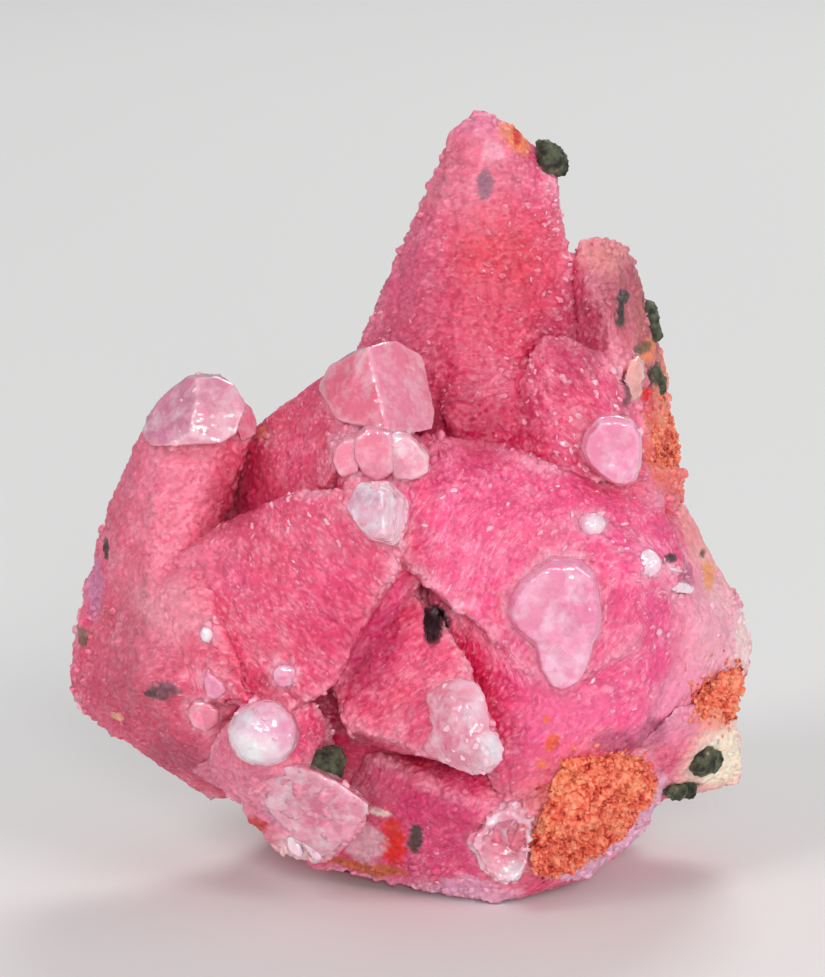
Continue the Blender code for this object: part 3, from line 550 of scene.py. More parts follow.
def scatterTree():
    # sets small bodies on a surface, as thickly as the value named by Weight lets them and in line
    # with the druse
    tree, add, given = startTree("scatter", ("Spacing", "Density", "Smallest", "Largest", "Longest",
                                             "Tilt", "Sink", "Patch size"),
                                 Shape="Object", Weight="String", Seed="Int")
    place = add("GeometryNodeInputPosition")
    patchScale = add("ShaderNodeMath", {0: 1.0, 1: given["Patch size"]}, operation="DIVIDE")
    patches = add("ShaderNodeTexNoise", {"Vector": place, "Scale": patchScale, "Detail": 2.0})
    patch = add("ShaderNodeMapRange", {"Value": patches, "From Min": 0.35, "From Max": 0.6})
    weight = add("GeometryNodeInputNamedAttribute", {"Name": given["Weight"]}, data_type="FLOAT")
    growth = add("ShaderNodeMath", {0: weight, 1: patch.outputs["Result"]}, operation="MULTIPLY")
    streak = add("GeometryNodeInputNamedAttribute", {"Name": "streak"}, data_type="FLOAT")
    across = add("ShaderNodeMath", {0: streak}, operation="COSINE")
    upward = add("ShaderNodeMath", {0: streak}, operation="SINE")
    along = add("ShaderNodeCombineXYZ", {0: across, 2: upward})
    spots = add("GeometryNodeDistributePointsOnFaces",
                {"Mesh": given["Geometry"], "Distance Min": given["Spacing"], "Density Factor": growth,
                 "Density Max": given["Density"], "Seed": given["Seed"]}, distribute_method="POISSON")
    # upright on the surface, then along the druse, then tilted by chance
    upright = add("FunctionNodeAlignRotationToVector", {"Vector": spots.outputs["Normal"]}, axis="Z")
    inLine = add("FunctionNodeAlignRotationToVector", {"Rotation": upright, "Vector": along}, axis="X",
                 pivot_axis="Z")
    least = add("ShaderNodeVectorMath", {0: (-1, -1, -1), "Scale": given["Tilt"]}, operation="SCALE")
    most = add("ShaderNodeVectorMath", {0: (1, 1, 1), "Scale": given["Tilt"]}, operation="SCALE")
    tilt = add("FunctionNodeRandomValue", {"Min": least, "Max": most, "Seed": given["Seed"]},
               data_type="FLOAT_VECTOR")
    tilted = add("FunctionNodeRotateRotation", {0: inLine, 1: tilt}, rotation_space="LOCAL")
    size = add("FunctionNodeRandomValue", {2: given["Smallest"], 3: given["Largest"],
                                           "Seed": given["Seed"]})
    stretch = add("FunctionNodeRandomValue", {2: 1.0, 3: given["Longest"], "Seed": 7})
    length = add("ShaderNodeMath", {0: size.outputs[1], 1: stretch.outputs[1]}, operation="MULTIPLY")
    scale = add("ShaderNodeCombineXYZ", {0: length, 1: size.outputs[1], 2: size.outputs[1]})
    sunk = add("ShaderNodeMath", {0: given["Sink"], 1: -1.0}, operation="MULTIPLY")
    inward = add("ShaderNodeVectorMath", {0: spots.outputs["Normal"], "Scale": sunk}, operation="SCALE")
    lowered = add("GeometryNodeSetPosition", {"Geometry": spots, "Offset": inward})
    shape = add("GeometryNodeObjectInfo", {"Object": given["Shape"]})
    copies = add("GeometryNodeInstanceOnPoints",
                 {"Points": lowered, "Instance": shape.outputs["Geometry"], "Rotation": tilted,
                  "Scale": scale})
    tone = add("FunctionNodeRandomValue", {2: 0.0, 3: 1.0, "Seed": 3})
    toned = add("GeometryNodeStoreNamedAttribute",
                {"Geometry": copies, "Name": "tone", "Value": tone.outputs[1]},
                data_type="FLOAT", domain="INSTANCE")
    endTree(add, toned, given["Finish"])
    return tree


def brokenTree():
    # breaks a surface into low cleavage terraces
    tree, add, given = startTree("cleavage", ("Terrace size", "Step height", "Roughness"))
    place = add("GeometryNodeInputPosition")
    scale = add("ShaderNodeMath", {0: 1.0, 1: given["Terrace size"]}, operation="DIVIDE")
    slopes = add("ShaderNodeTexVoronoi", {"Vector": place, "Scale": scale, "Randomness": 1.0},
                 distance="CHEBYCHEV")
    steps = add("ShaderNodeMath", {0: slopes.outputs["Distance"], 1: 0.25}, operation="SNAP")
    rise = add("ShaderNodeMath", {0: -0.4, 1: steps}, operation="SUBTRACT")
    high = add("ShaderNodeMath", {0: rise, 1: given["Step height"]}, operation="MULTIPLY")
    fine = add("ShaderNodeTexNoise", {"Vector": place, "Scale": 0.7, "Detail": 3.0})
    rough = add("ShaderNodeMath", {0: fine, 1: given["Roughness"], 2: high}, operation="MULTIPLY_ADD")
    normal = add("GeometryNodeInputNormal")
    move = add("ShaderNodeVectorMath", {0: normal, "Scale": rough}, operation="SCALE")
    moved = add("GeometryNodeSetPosition", {"Geometry": given["Geometry"], "Offset": move})
    endTree(add, moved, given["Finish"])
    return tree


def startMaterial(name, values):
    made = bpy.data.materials.new(name)
    made.use_nodes = True
    shader = made.node_tree.nodes["Principled BSDF"]
    setInputs(shader, values)
    return made, shader, partial(addNode, made.node_tree)


def cloudShare(add, noise, share):
    # how much of a cloudy pattern covers each spot
    clouds = add("ShaderNodeTexNoise", noise)
    return add("ShaderNodeMapRange", {"Value": clouds, **share})


def variedColour(add, colour, by, least, most):
    # the colour, darker or lighter from grain to grain
    value = add("ShaderNodeMapRange", {"Value": by, "To Min": least, "To Max": most})
    return add("ShaderNodeHueSaturation", {"Color": colour, "Value": value})


def turnedNormal(add, cells, normal, amount):
    # a normal that turns its own way in each cell of the pattern
    away = add("ShaderNodeVectorMath", {0: cells.outputs["Color"], 1: (0.5, 0.5, 0.5)},
               operation="SUBTRACT")
    tilted = add("ShaderNodeVectorMath", {0: away, 1: (amount, amount, amount), 2: normal},
                 operation="MULTIPLY_ADD")
    return add("ShaderNodeVectorMath", {0: tilted}, operation="NORMALIZE")


# Colour that lies in the calcite in places, some of it painted shade: middle, reach each way, colour and
# how strong it is.
stainsAndShade = {
    "pale top": ((6, 3, 72), (6, 9, 6), "#D8788E", 0.55),
    "pale top left": ((-1, 4, 60), (4.5, 9, 9), "#C05878", 0.5),
    "coral heart": ((9, 1, 63.5), (5.5, 9, 5.5), "#D62C46", 0.8),
    "coral middle": ((6, 0, 57), (6, 9, 5), "#CC2E56", 0.6),
    "magenta foot of the top crystal": ((4, -2, 48.5), (8, 7, 5.5), "#BE024A", 0.95),
    # painted shade: deeper magenta in the trough where the right crystal's left face lies in shade
    "magenta by the right crystal": ((15.5, 3, 55), (3.5, 8, 5), "#B80E4C", 0.7),
    "upper smudge": ((7.2, 2.9, 71.5), (0.8, 3, 1.6), "#6A5064", 0.75),
    "upper pale spot": ((8, 2.9, 74.5), (1.2, 3, 1), "#F4B4C8", 0.5),
    "shoulder stain": ((11, 6.5, 76), (2.2, 4, 2.2), "#F08A4A", 0.8),
    "shoulder spot": ((10.6, 6, 75.6), (0.7, 3, 0.8), "#D8200A", 0.9),
    # painted shade: this stain and the next deepen the creases between crystals
    "left crease": ((-15, -2, 40), (4.5, 7, 4), "#B80F45", 0.8),
    "middle crease": ((-4.5, -11, 29), (3.5, 5, 6), "#B8105A", 0.7),
    "upper dark patch": ((21.3, 5.8, 59.4), (0.75, 5, 0.9), "#2E3428", 0.95),
    "upper dark patch, low": ((20.9, 4.6, 57.9), (0.45, 5, 1.2), "#2E3428", 0.95),
    "right dark patch": ((24.6, 6.5, 51.2), (0.8, 6, 1.4), "#343A28", 0.9),
    "right olive": ((23, 7, 54.2), (1, 5, 0.5), "#5A5640", 0.8),
    "side oval rim": ((21.2, 3, 50.4), (0.6, 4, 2.1), "#4A2A30", 0.85),
    "right orange": ((24.2, 8.5, 54), (0.9, 6, 0.9), "#F08A5A", 0.8),
    "right orange strip": ((25.6, 9, 49.5), (0.9, 7, 4), "#F2977A", 0.8),
    "right spot": ((23.6, 6.8, 49.7), (0.7, 5, 0.6), "#E8201A", 0.95),
    "right flank": ((25.5, 4, 44), (2, 8, 5.5), "#F07C50", 0.6),
    "arm violet": ((-18.3, -3, 50.2), (1.6, 3, 1), "#8A7FA8", 0.6),
    "arm orange": ((-16, -0.5, 47.5), (1, 3, 2), "#F08058", 0.7),
    "arm far orange": ((-25, -3.5, 47.4), (1.4, 3, 0.8), "#F08A68", 0.5),
    "arm crack": ((-31, 2, 34.6), (0.35, 2.5, 1.2), "#1A1612", 0.95),
    "arm side violet": ((-32.3, 2.4, 30.5), (1.2, 4, 3), "#C088B8", 0.5),
    "left green": ((-33.4, 2.2, 25.3), (0.7, 4, 1), "#5E5A3A", 0.8),
    "left smudge": ((-24.6, -8.6, 22.5), (1.7, 4, 0.8), "#4A383E", 0.8),
    "left yellow": ((-29.6, -2.2, 18), (0.6, 3, 0.5), "#F2C890", 0.7),
    # painted shade: the pressed-in pit painted near black as its shadow
    "pit": ((2.1, -12.6, 30.2), (1, 4, 2), "#120C08", 0.98),
    "foot wedge": ((-1.8, -7, 6.2), (1.5, 6, 2.4), "#E81C10", 1),
    "foot wedge, top": ((-2.6, -7, 8.2), (1, 6, 0.9), "#E83020", 0.9),
    "foot line": ((-5.2, -3.5, 2.3), (5.2, 6, 0.8), "#C8642E", 0.95),
    "foot dark": ((0.1, -8.4, 7.2), (0.75, 6, 1.9), "#34322A", 0.95),
    "foot white": ((-3.6, -7, 9.4), (1.2, 6, 0.5), "#F6E6DC", 0.9),
    "left red line": ((-15.6, -9.5, 9.2), (1.5, 5, 1.3), "#C83020", 0.9),
    "ball body": ((-17.5, -13, 15), (5, 6, 4.5), "#EE98AE", 0.5),
    "crust halo": ((17, -12, 10), (8, 5, 8.5), "#F09070", 0.5),
    "crust upper spot": ((13.2, -15.2, 21.2), (0.5, 3, 0.45), "#EE6A34", 0.8),
    "crust end spot": ((23.8, -9.8, 14.4), (0.6, 3, 0.7), "#E0301A", 0.9),
    "flank dark": ((25.3, -10.2, 36.3), (0.8, 1.5, 0.5), "#2A1A20", 0.95),
    "flank dark low": ((27, -5.5, 33.9), (1.4, 4, 1.4), "#8E3A66", 0.6),
    "flank dark high": ((26.9, -2.4, 36.4), (0.6, 1.4, 0.5), "#2A2420", 0.95),
    "flank orange": ((29.9, -0.4, 32.6), (0.9, 4, 1.2), "#F09A50", 0.8),
    "flank crust halo": ((31, -4, 20.3), (3.2, 5, 3.3), "#F48A50", 0.7),
    "flank red": ((29, -6.8, 21), (0.9, 3, 1), "#D81A10", 0.9),
    "cream foot": ((31.5, -1, 13), (4.5, 7, 5), "#FCE8D0", 0.95),
    "cream edge": ((34, -1, 25.5), (2.2, 5, 4), "#F6DCD6", 0.75),
    # painted shade: a dark purple band in the recess between the crust and the lobe
    "recess": ((21.5, -11, 18.2), (5.5, 4, 1.6), "#9A3560", 0.6),
    "underside green": ((27, -1.5, 10), (3, 3, 0.9), "#4E5A3A", 0.8),
    "lower rim": ((17.5, -7, 3), (3.4, 5, 1.8), "#E6BCD4", 0.8),
    "lower rim middle": ((21, -5.5, 5.8), (2.8, 5, 2.2), "#E6BCD4", 0.8),
    "lower rim end": ((24, -4, 9), (2, 5, 2.6), "#DDB4CC", 0.8),
    "foot middle": ((-12.5, -13, 12), (2.6, 5, 2), "#B888A8", 0.5),
    "foot pale": ((-10, -12, 11), (6.5, 6, 5.5), "#F0AABC", 0.6),
    "foot shards": ((-11, -10, 6.4), (2.5, 5, 2.4), "#F6DCD6", 0.7),
    "milky patch": ((-5, -6, 5.5), (2.6, 5, 2), "#E8BEC8", 0.8),
    "bottom lilac": ((5, -8, 1.2), (5.5, 6, 1.7), "#E6B8D2", 0.7),
    "bottom magenta": ((3, -9, 11), (6.5, 7, 4.5), "#CC1A62", 0.6),
    "right pale": ((21.5, 8, 60), (3.8, 8, 6), "#A86066", 0.75),
    "right rim": ((24.5, 8, 55), (2.4, 8, 6), "#B46A66", 0.7),
    "right rim, low": ((29.5, 3, 38), (2.8, 9, 5), "#F2A49C", 0.75),
    "lobe rim": ((31.5, 1, 32.5), (2.8, 8, 4), "#F4B4A8", 0.7),
    "lobe pale": ((30.5, -3, 27.5), (6, 8, 6.5), "#F4B6C4", 0.75),
    "lobe, lower": ((26, -7, 20), (5.5, 6, 4), "#F09CBC", 0.6),
    "arm pale": ((-24, -3, 40), (7, 9, 9), "#E88CA4", 0.45),
    # painted shade: deeper magenta in the recess left of the lower centre crystal
    "centre deep": ((-7, -15, 31), (5, 5, 4.5), "#D8165E", 0.5),
    # painted shade: the lower left darker where it faces down and away from the lamps
    "left deep": ((-28, -4, 20), (6, 8, 4), "#B43856", 0.55),
    "tip violet": ((7, 4, 77), (3, 5, 2.4), "#DE94B4", 0.35),
    # painted shade: the right crystal's left face darker, as it lies in shade
    "right, left side": ((18, 4, 58), (2.4, 8, 6), "#A83A58", 0.5),
    "flank olive": ((29.6, -0.5, 34), (0.4, 4, 0.5), "#4E4628", 0.9),
    "back": ((2, 23, 28), (34, 12, 36), "#E2B2B6", 0.6),
    "crust upper spot, middle": ((13.5, -14.7, 19), (0.8, 3, 0.9), "#E65A2A", 0.9),
    "crust upper spot, low": ((12.5, -14.4, 16.6), (0.55, 3, 0.6), "#EE7A44", 0.8),
    "below the shield": ((15, -15, 22.5), (5.5, 5, 3), "#F0709E", 0.5),
    "left smudge, low": ((-26.3, -7.6, 21.7), (0.7, 4, 0.5), "#2E2A28", 0.85),
    # painted shade: this stain and the next darken the lower left, which faces down and away from the
    # lamps
    "left, painted shade": ((-27.5, -5, 26.5), (6, 8, 5.5), "#C4687A", 0.5),
    "left bottom, deep": ((-23, -6, 14.5), (4.5, 8, 3), "#A02E54", 0.6),
    "bridge pale": ((-24, -8, 30), (4, 6, 3), "#EE9CAC", 0.55),
    "right, top": ((20, 8.5, 64), (3.6, 6, 2.2), "#D88A88", 0.65),
    "orange by the green": ((-11, -10, 13), (2, 3, 1.5), "#F07848", 0.6),
}

# Where the druse is coarse: middle, reach each way and how thickly the grains stand.
coarseDruse = {
    "foot edge": ((-8, -14, 12), (6.5, 5, 5), 0.6),
    "lower right rim": ((21, -5, 6), (6, 6, 6), 1.0),
    "lobe edge": ((33.5, -1, 20), (3, 8, 14), 1.0),
    "right edge": ((26, 7, 50), (3, 9, 14), 0.9),
    "bottom": ((4, -8, 1.5), (8, 8, 2.5), 1.0),
    "right, top": ((20.5, 8, 61), (4, 8, 6), 0.5),
    "lower left": ((-30, 0, 22), (6, 6, 8), 0.5),
}

# Where bright single crystals, painted near white as glints, stand out of the druse: middle, reach each
# way and how thickly.
flakeZones = {
    "top, right side": ((12, 3, 62), (6, 9, 13), 1.0),
    "top, foot": ((9, -1, 49), (9, 8, 5.5), 0.6),
    "top, left": ((-2, 4, 56), (4, 8, 6), 0.3),
    "right front": ((18, -3, 48), (7, 7, 8), 0.6),
    "middle, upper edge": ((12, -11, 42), (14, 6, 5), 0.35),
    "middle, right": ((20, -13, 30), (8, 6, 9), 0.4),
    "left, upper edge": ((-14, -10, 38), (12, 7, 5), 0.35),
    "lower right rim": ((21, -5, 6), (6, 6, 6), 0.8),
    "bottom": ((4, -8, 4), (9, 8, 5), 0.4),
    "lobe": ((30, -3, 26), (6, 8, 9), 0.4),
}


# deep is the colour of the painted shade in the creases
druseShades = {"pink": "#E54A86", "coral": "#DC4E62", "deep": "#D41455", "pale": "#F8BACA"}
# How pale each druse is, how smooth and rough its grains are, and how deep light scatters in it.
druseLooks = {
    "calcite druse": {"paleness": 0.0, "smoothest": 0.3, "roughest": 0.5, "depth": 0.8},
    "calcite knobs": {"paleness": 0.1, "smoothest": 0.25, "roughest": 0.45, "depth": 0.35},
    "calcite grains": {"paleness": 0.45, "smoothest": 0.1, "roughest": 0.35, "depth": 0.2},
    # the flakes' near-white grains: real grains whose colour is a painted highlight standing for glints
    "bright calcite grains": {"paleness": 0.95, "smoothest": 0.08, "roughest": 0.25, "depth": 0.12},
}


def druseMaterial(name, paleness, smoothest, roughest, depth):
    # Cobalt-bearing calcite, druse: translucent sugar-pink grains with a soft glint on their faces.
    made, shader, add = startMaterial(name, {
        "IOR": 1.6, "Subsurface Weight": 0.68, "Subsurface Scale": depth * mm,
        "Subsurface Radius": (1.0, 0.35, 0.5)})
    place = add("ShaderNodeTexCoord").outputs["Object"]
    # the stain attribute holds real stains and some painted shade
    stain = add("ShaderNodeAttribute", attribute_name="stain")
    read = {name: add("ShaderNodeAttribute", attribute_name=name).outputs["Fac"]
            for name in ("edge", "fold", "tone", "ridge", "coral", "streak")}
    # magenta to coral in clouds about 5 mm across, and deepest in the creases, where the colour is
    # painted shade
    clouds = add("ShaderNodeTexNoise", {"Vector": place, "Scale": 200.0, "Detail": 3.0})
    coral = add("ShaderNodeMath", {0: clouds, 1: 0.8, 2: read["coral"]}, operation="MULTIPLY_ADD")
    coralShare = add("ShaderNodeMath", {0: coral, 1: 0.4}, operation="SUBTRACT", use_clamp=True)
    body = add("ShaderNodeMix", {"Factor": coralShare, "A": linear(druseShades["pink"]),
                                 "B": linear(druseShades["coral"])}, data_type="RGBA")
    deep = add("ShaderNodeMix", {"Factor": read["fold"], "A": body.outputs["Result"],
                                 "B": linear(druseShades["deep"])}, data_type="RGBA")
    # pale where the grains are thickest: edges, crests, and streaks 1 mm long down each face; the edges
    # take in the halo round clear crystals, partly painted light
    along = add("ShaderNodeVectorRotate", {"Vector": place, "Axis": (0, 1, 0), "Angle": read["streak"]},
                rotation_type="AXIS_ANGLE")
    drawn = add("ShaderNodeVectorMath", {0: along, 1: (900.0, 3200.0, 3200.0)}, operation="MULTIPLY")
    streaky = cloudShare(add, {"Vector": drawn, "Scale": 1.0, "Detail": 2.0, "Distortion": 0.3},
                         {"From Min": 0.5, "From Max": 0.72, "To Max": 0.42})
    edges = add("ShaderNodeMath", {0: read["edge"], 1: 0.42, 2: streaky}, operation="MULTIPLY_ADD")
    crests = add("ShaderNodeMath", {0: read["ridge"], 1: 0.25, 2: edges}, operation="MULTIPLY_ADD")
    # milky patches 2.4 mm across
    mottled = cloudShare(add, {"Vector": place, "Scale": 420.0, "Detail": 3.0},
                         {"From Min": 0.4, "From Max": 0.7, "To Min": -0.08, "To Max": 0.22})
    crested = add("ShaderNodeMath", {0: crests, 1: mottled}, operation="ADD")
    paleShare = add("ShaderNodeMath", {0: crested, 1: paleness}, operation="ADD", use_clamp=True)
    stained = add("ShaderNodeMix", {"Factor": stain.outputs["Alpha"], "A": deep.outputs["Result"],
                                    "B": stain.outputs["Color"]}, data_type="RGBA")
    # stains, painted shade included, lie under the pale grains and dull them
    dulled = add("ShaderNodeMath", {0: stain.outputs["Alpha"], 1: -0.85, 2: 1.0},
                 operation="MULTIPLY_ADD")
    paleLeft = add("ShaderNodeMath", {0: paleShare, 1: dulled}, operation="MULTIPLY")
    pale = add("ShaderNodeMix", {"Factor": paleLeft, "A": stained.outputs["Result"],
                                 "B": linear(druseShades["pale"])}, data_type="RGBA")
    # facets of 0.35 mm, each turned its own way and more or less bright
    facets = add("ShaderNodeTexVoronoi", {"Vector": place, "Scale": 2800.0})
    normal = add("ShaderNodeNewGeometry").outputs["Normal"]
    gloss = add("ShaderNodeMapRange", {"Value": read["tone"], "From Min": 0.9, "To Min": roughest,
                                       "To Max": smoothest})
    shades = variedColour(add, pale.outputs["Result"], read["tone"], 0.92, 1.12)
    setInputs(shader, {"Base Color": shades, "Normal": turnedNormal(add, facets, normal, 0.6),
                       "Roughness": gloss})
    return made


# The clear calcites: their colour deep down and in painted shade, near the surface, and in their veils
# and painted highlights, how much passes straight through, how far their cleavage planes turn, and how
# deep light scatters in them.
clearLooks = {
    "clear calcite": {"deepShade": "#F8A8C8", "shade": "#FFE6F0", "haze": "#FFFFFF",
                      "seeThrough": 0.1, "glitter": 0.34, "scatter": 0.2},
    "cloudy calcite": {"deepShade": "#EC74A4", "shade": "#F498BA", "haze": "#FFDCEC",
                       "seeThrough": 0.12, "glitter": 0.2, "scatter": 0.6},
    "milky calcite": {"deepShade": "#EE5E7C", "shade": "#F88EAC", "haze": "#FFD2DE",
                      "seeThrough": 0.12, "glitter": 0.16, "scatter": 0.6},
    "frosted calcite": {"deepShade": "#DC7CA2", "shade": "#EEA2B8", "haze": "#FFDDE6",
                        "seeThrough": 0.12, "glitter": 0.14, "scatter": 0.6},
    "sugary calcite": {"deepShade": "#F07E9E", "shade": "#FFB6CA", "haze": "#FFF0F6",
                       "seeThrough": 0.12, "glitter": 0.35, "scatter": 0.35},
    "creamy calcite": {"deepShade": "#E08C8C", "shade": "#F0A8A0", "haze": "#FAD2C8",
                       "seeThrough": 0.05, "glitter": 0.14, "scatter": 0.6},
}


def clearMaterial(name, deepShade, shade, haze, seeThrough, glitter, scatter):
    # Clear calcite: glass-bright and pink in its depth, with veils and cleavage planes that hold light;
    # its points carry painted shade and painted highlight lines and glints.
    made, shader, add = startMaterial(name, {
        "Roughness": 0.08, "IOR": 1.6, "Transmission Weight": seeThrough, "Subsurface Weight": 0.8,
        "Subsurface Scale": scatter * mm, "Subsurface Radius": (1.0, 0.55, 0.7), "Coat Weight": 1.0,
        "Coat Roughness": 0.06})
    depth = add("ShaderNodeVolumeAbsorption", {"Color": linear("#FFB4CC"), "Density": 60.0})
    setInputs(made.node_tree.nodes["Material Output"], {"Volume": depth})
    place = add("ShaderNodeTexCoord").outputs["Object"]
    read = {name: add("ShaderNodeAttribute", attribute_name=name).outputs["Fac"]
            for name in ("edge", "fold")}
    # clouds 4 mm across in its depth, and the painted shade and deeper pink each crystal carries
    slow = cloudShare(add, {"Vector": place, "Scale": 260.0, "Detail": 3.0},
                      {"From Min": 0.42, "From Max": 0.62, "To Max": 0.55})
    deep = add("ShaderNodeMath", {0: read["fold"], 1: slow}, operation="MAXIMUM")
    ground = add("ShaderNodeMix", {"Factor": deep, "A": linear(shade), "B": linear(deepShade)},
                 data_type="RGBA")
    # veils 2 mm across, whitened more by the painted highlight lines and glints
    veil = cloudShare(add, {"Vector": place, "Scale": 520.0, "Detail": 6.0, "Roughness": 0.65,
                            "Distortion": 0.15}, {"From Min": 0.44, "From Max": 0.7, "To Max": 0.75})
    bright = add("ShaderNodeMath", {0: read["edge"], 1: 0.3, 2: veil}, operation="MULTIPLY_ADD",
                 use_clamp=True)
    colour = add("ShaderNodeMix", {"Factor": bright, "A": ground.outputs["Result"], "B": linear(haze)},
                 data_type="RGBA")
    # cleavage planes about 1.5 mm across, each turned a little its own way
    planes = add("ShaderNodeTexVoronoi", {"Vector": place, "Scale": 650.0})
    fine = add("ShaderNodeTexNoise", {"Vector": place, "Scale": 1300.0, "Detail": 3.0})
    bump = add("ShaderNodeBump", {"Height": fine, "Strength": 0.3, "Distance": 0.2 * mm})
    normal = turnedNormal(add, planes, bump, glitter)
    shades = variedColour(add, colour.outputs["Result"], planes.outputs["Color"], 0.88, 1.06)
    setInputs(shader, {"Base Color": shades, "Normal": normal, "Coat Normal": normal})
    return made


def brokenMaterial():
    # Broken calcite: flat cleavage faces, pale pink to cream, stained orange where it sat.
    made, shader, add = startMaterial("broken calcite", {
        "Roughness": 0.35, "IOR": 1.6, "Subsurface Weight": 0.5, "Subsurface Scale": 1.0 * mm,
        "Subsurface Radius": (1.0, 0.6, 0.6)})
    place = add("ShaderNodeTexCoord").outputs["Object"]
    slow = add("ShaderNodeTexNoise", {"Vector": place, "Scale": 90.0, "Detail": 4.0})
    body = add("ShaderNodeValToRGB", {"Fac": slow}, stops=((0.35, "#DE7A98"), (0.65, "#F0CFC6")))
    rusty = cloudShare(add, {"Vector": place, "Scale": 160.0, "Detail": 6.0},
                       {"From Min": 0.56, "From Max": 0.7})
    stained = add("ShaderNodeMix", {"Factor": rusty, "A": body.outputs["Color"],
                                    "B": linear("#E0824E")}, data_type="RGBA")
    setInputs(shader, {"Base Color": stained.outputs["Result"]})
    return made


def greenMaterial():
    # Velvety green mineral: matt, near black in its hollows, with a pale dusty sheen at its edges.
    made, shader, add = startMaterial("velvet green mineral", {
        "Roughness": 0.75, "Sheen Weight": 0.5, "Sheen Roughness": 0.4,
        "Sheen Tint": linear("#A8B49A")})
    place = add("ShaderNodeTexCoord").outputs["Object"]
    patches = add("ShaderNodeTexNoise", {"Vector": place, "Scale": 900.0, "Detail": 6.0})
    colour = add("ShaderNodeValToRGB", {"Fac": patches},
                 stops=((0.38, "#17160F"), (0.66, "#5C6048"), (0.72, "#9A8A74")))
    setInputs(shader, {"Base Color": colour.outputs["Color"]})
    return made


def crumbMaterial():
    # Iron-stained crumbs: matt coral-orange grains, darkening to brick red down between them as painted
    # shade and paling on their crests as painted highlight.
    made, shader, add = startMaterial("orange crumbs", {
        "Roughness": 0.55, "Subsurface Weight": 0.35, "Subsurface Scale": 0.5 * mm,
        "Subsurface Radius": (1.0, 0.4, 0.2)})
    place = add("ShaderNodeTexCoord").outputs["Object"]
    tone = add("ShaderNodeAttribute", attribute_name="tone").outputs["Fac"]
    ridge = add("ShaderNodeAttribute", attribute_name="ridge").outputs["Fac"]
    patches = add("ShaderNodeTexNoise", {"Vector": place, "Scale": 600.0, "Detail": 4.0})
    # painted shade and highlight: the colour follows each grain's height, dark low down, pale on top
    lifted = add("ShaderNodeMath", {0: ridge, 1: 0.55, 2: patches}, operation="MULTIPLY_ADD")
    mixed = add("ShaderNodeMath", {0: tone, 1: 0.25, 2: lifted}, operation="MULTIPLY_ADD")
    colour = add("ShaderNodeValToRGB", {"Fac": mixed},
                 stops=((0.34, "#8E1A10"), (0.52, "#E2543C"), (0.86, "#FB9E7C")))
    ochre = cloudShare(add, {"Vector": place, "Scale": 250.0, "Detail": 2.0},
                       {"From Min": 0.5, "From Max": 0.75, "To Max": 0.28})
    final = add("ShaderNodeMix", {"Factor": ochre, "A": colour.outputs["Color"],
                                  "B": linear("#E3A05C")}, data_type="RGBA")
    setInputs(shader, {"Base Color": final.outputs["Result"]})
    return made


def floorMaterial():
    # Plain matt paper.
    return startMaterial("pale paper", {"Base Color": linear("#E6E5E3"), "Roughness": 0.9})[0]


finished = []


def finish(obj, slot, *nodes, smooth=True):
    # brings a piece to the frame and hangs it on the body
    obj.data.transform(toFrame)
    obj.data.polygons.foreach_set("use_smooth", [smooth] * len(obj.data.polygons))
    obj.data.update()
    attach(obj, "root")
    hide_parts(*nodes)
    finished.append(obj)


def nearestEdge(points, corners, least):
    # how far each point is from the nearest edge of the body that bends by more than so many degrees
    shape = hullOf(corners)
    sharp = [edge for edge in shape.edges if edge.calc_face_angle(0) > math.radians(least)]
    near = np.full(len(points), 1e9)
    for edge in sharp:
        start = np.array(edge.verts[0].co)
        along = np.array(edge.verts[1].co) - start
        share = np.clip((points - start) @ along / (along @ along), 0, 1)
        near = np.minimum(near, np.linalg.norm(points - start - share[:, None] * along, axis=1))
    shape.free()
    return near


def ragged(points, size, depth):
    # moves points by a few waves of this size, so that what is measured from them has a ragged edge
    rng = np.random.default_rng(11)
    moved = points.copy()
    for octave in range(5):
        waves = rng.normal(size=(3, 3)) * 2 ** octave / size
        moved += depth / 1.4 ** octave * np.sin(points @ waves + rng.uniform(0, 6, 3))
    return moved


stainEdge = {"size": 1.6, "depth": 0.45}


def stainsAndShadeAt(points):
    # what stain, painted shade included, lies at each point, as a colour and how much it covers
    moved = ragged(points, **stainEdge) - points
    colour = np.zeros((len(points), 4))
    for middle, reach, shade, strength in sorted(stainsAndShade.values(), key=lambda stain: -max(stain[1])):
        still = ragged(np.array([middle], float), **stainEdge) - middle
        shaken = points + (moved - still) * min(min(reach) / stainEdge["size"], 1)
        far = np.linalg.norm((shaken - middle) / reach, axis=1)
        # a small stain has a hard edge and a large one fades away
        soft = min(max(min(reach) / 5, 0.25), 0.9)
        over = strength * np.clip((1 + soft / 2 - far) / soft, 0, 1)
        total = over + colour[:, 3] * (1 - over)
        share = (over / np.maximum(total, 1e-9))[:, None]
        colour[:, :3] = colour[:, :3] * (1 - share) + np.array(linear(shade)[:3]) * share
        colour[:, 3] = total
    return colour


def zonesAt(points, zones):
    return sum(thick * (np.linalg.norm((points - middle) / reach, axis=1) < 1)
               for middle, reach, thick in zones.values())


def smallCrystal():
    # a scalenohedron a millimetre long: six ridges to each end, and a zigzag round its middle
    corners = [(0.5, 0, 0), (-0.5, 0, 0)]
    for step in range(6):
        turn = math.radians(60 * step)
        corners.append((0.1 * (-1) ** step, 0.26 * math.cos(turn), 0.2 * math.sin(turn)))
    return objectFrom(hullOf(corners), "small_crystal")


def crumb():
    # one crumb: a rough little lump a millimetre across
    rng = np.random.default_rng(4)
    corners = rng.normal(size=(18, 3))
    corners = 0.5 * corners / np.linalg.norm(corners, axis=1)[:, None]
    return objectFrom(hullOf([Vector(c) for c in corners]), "crumb")


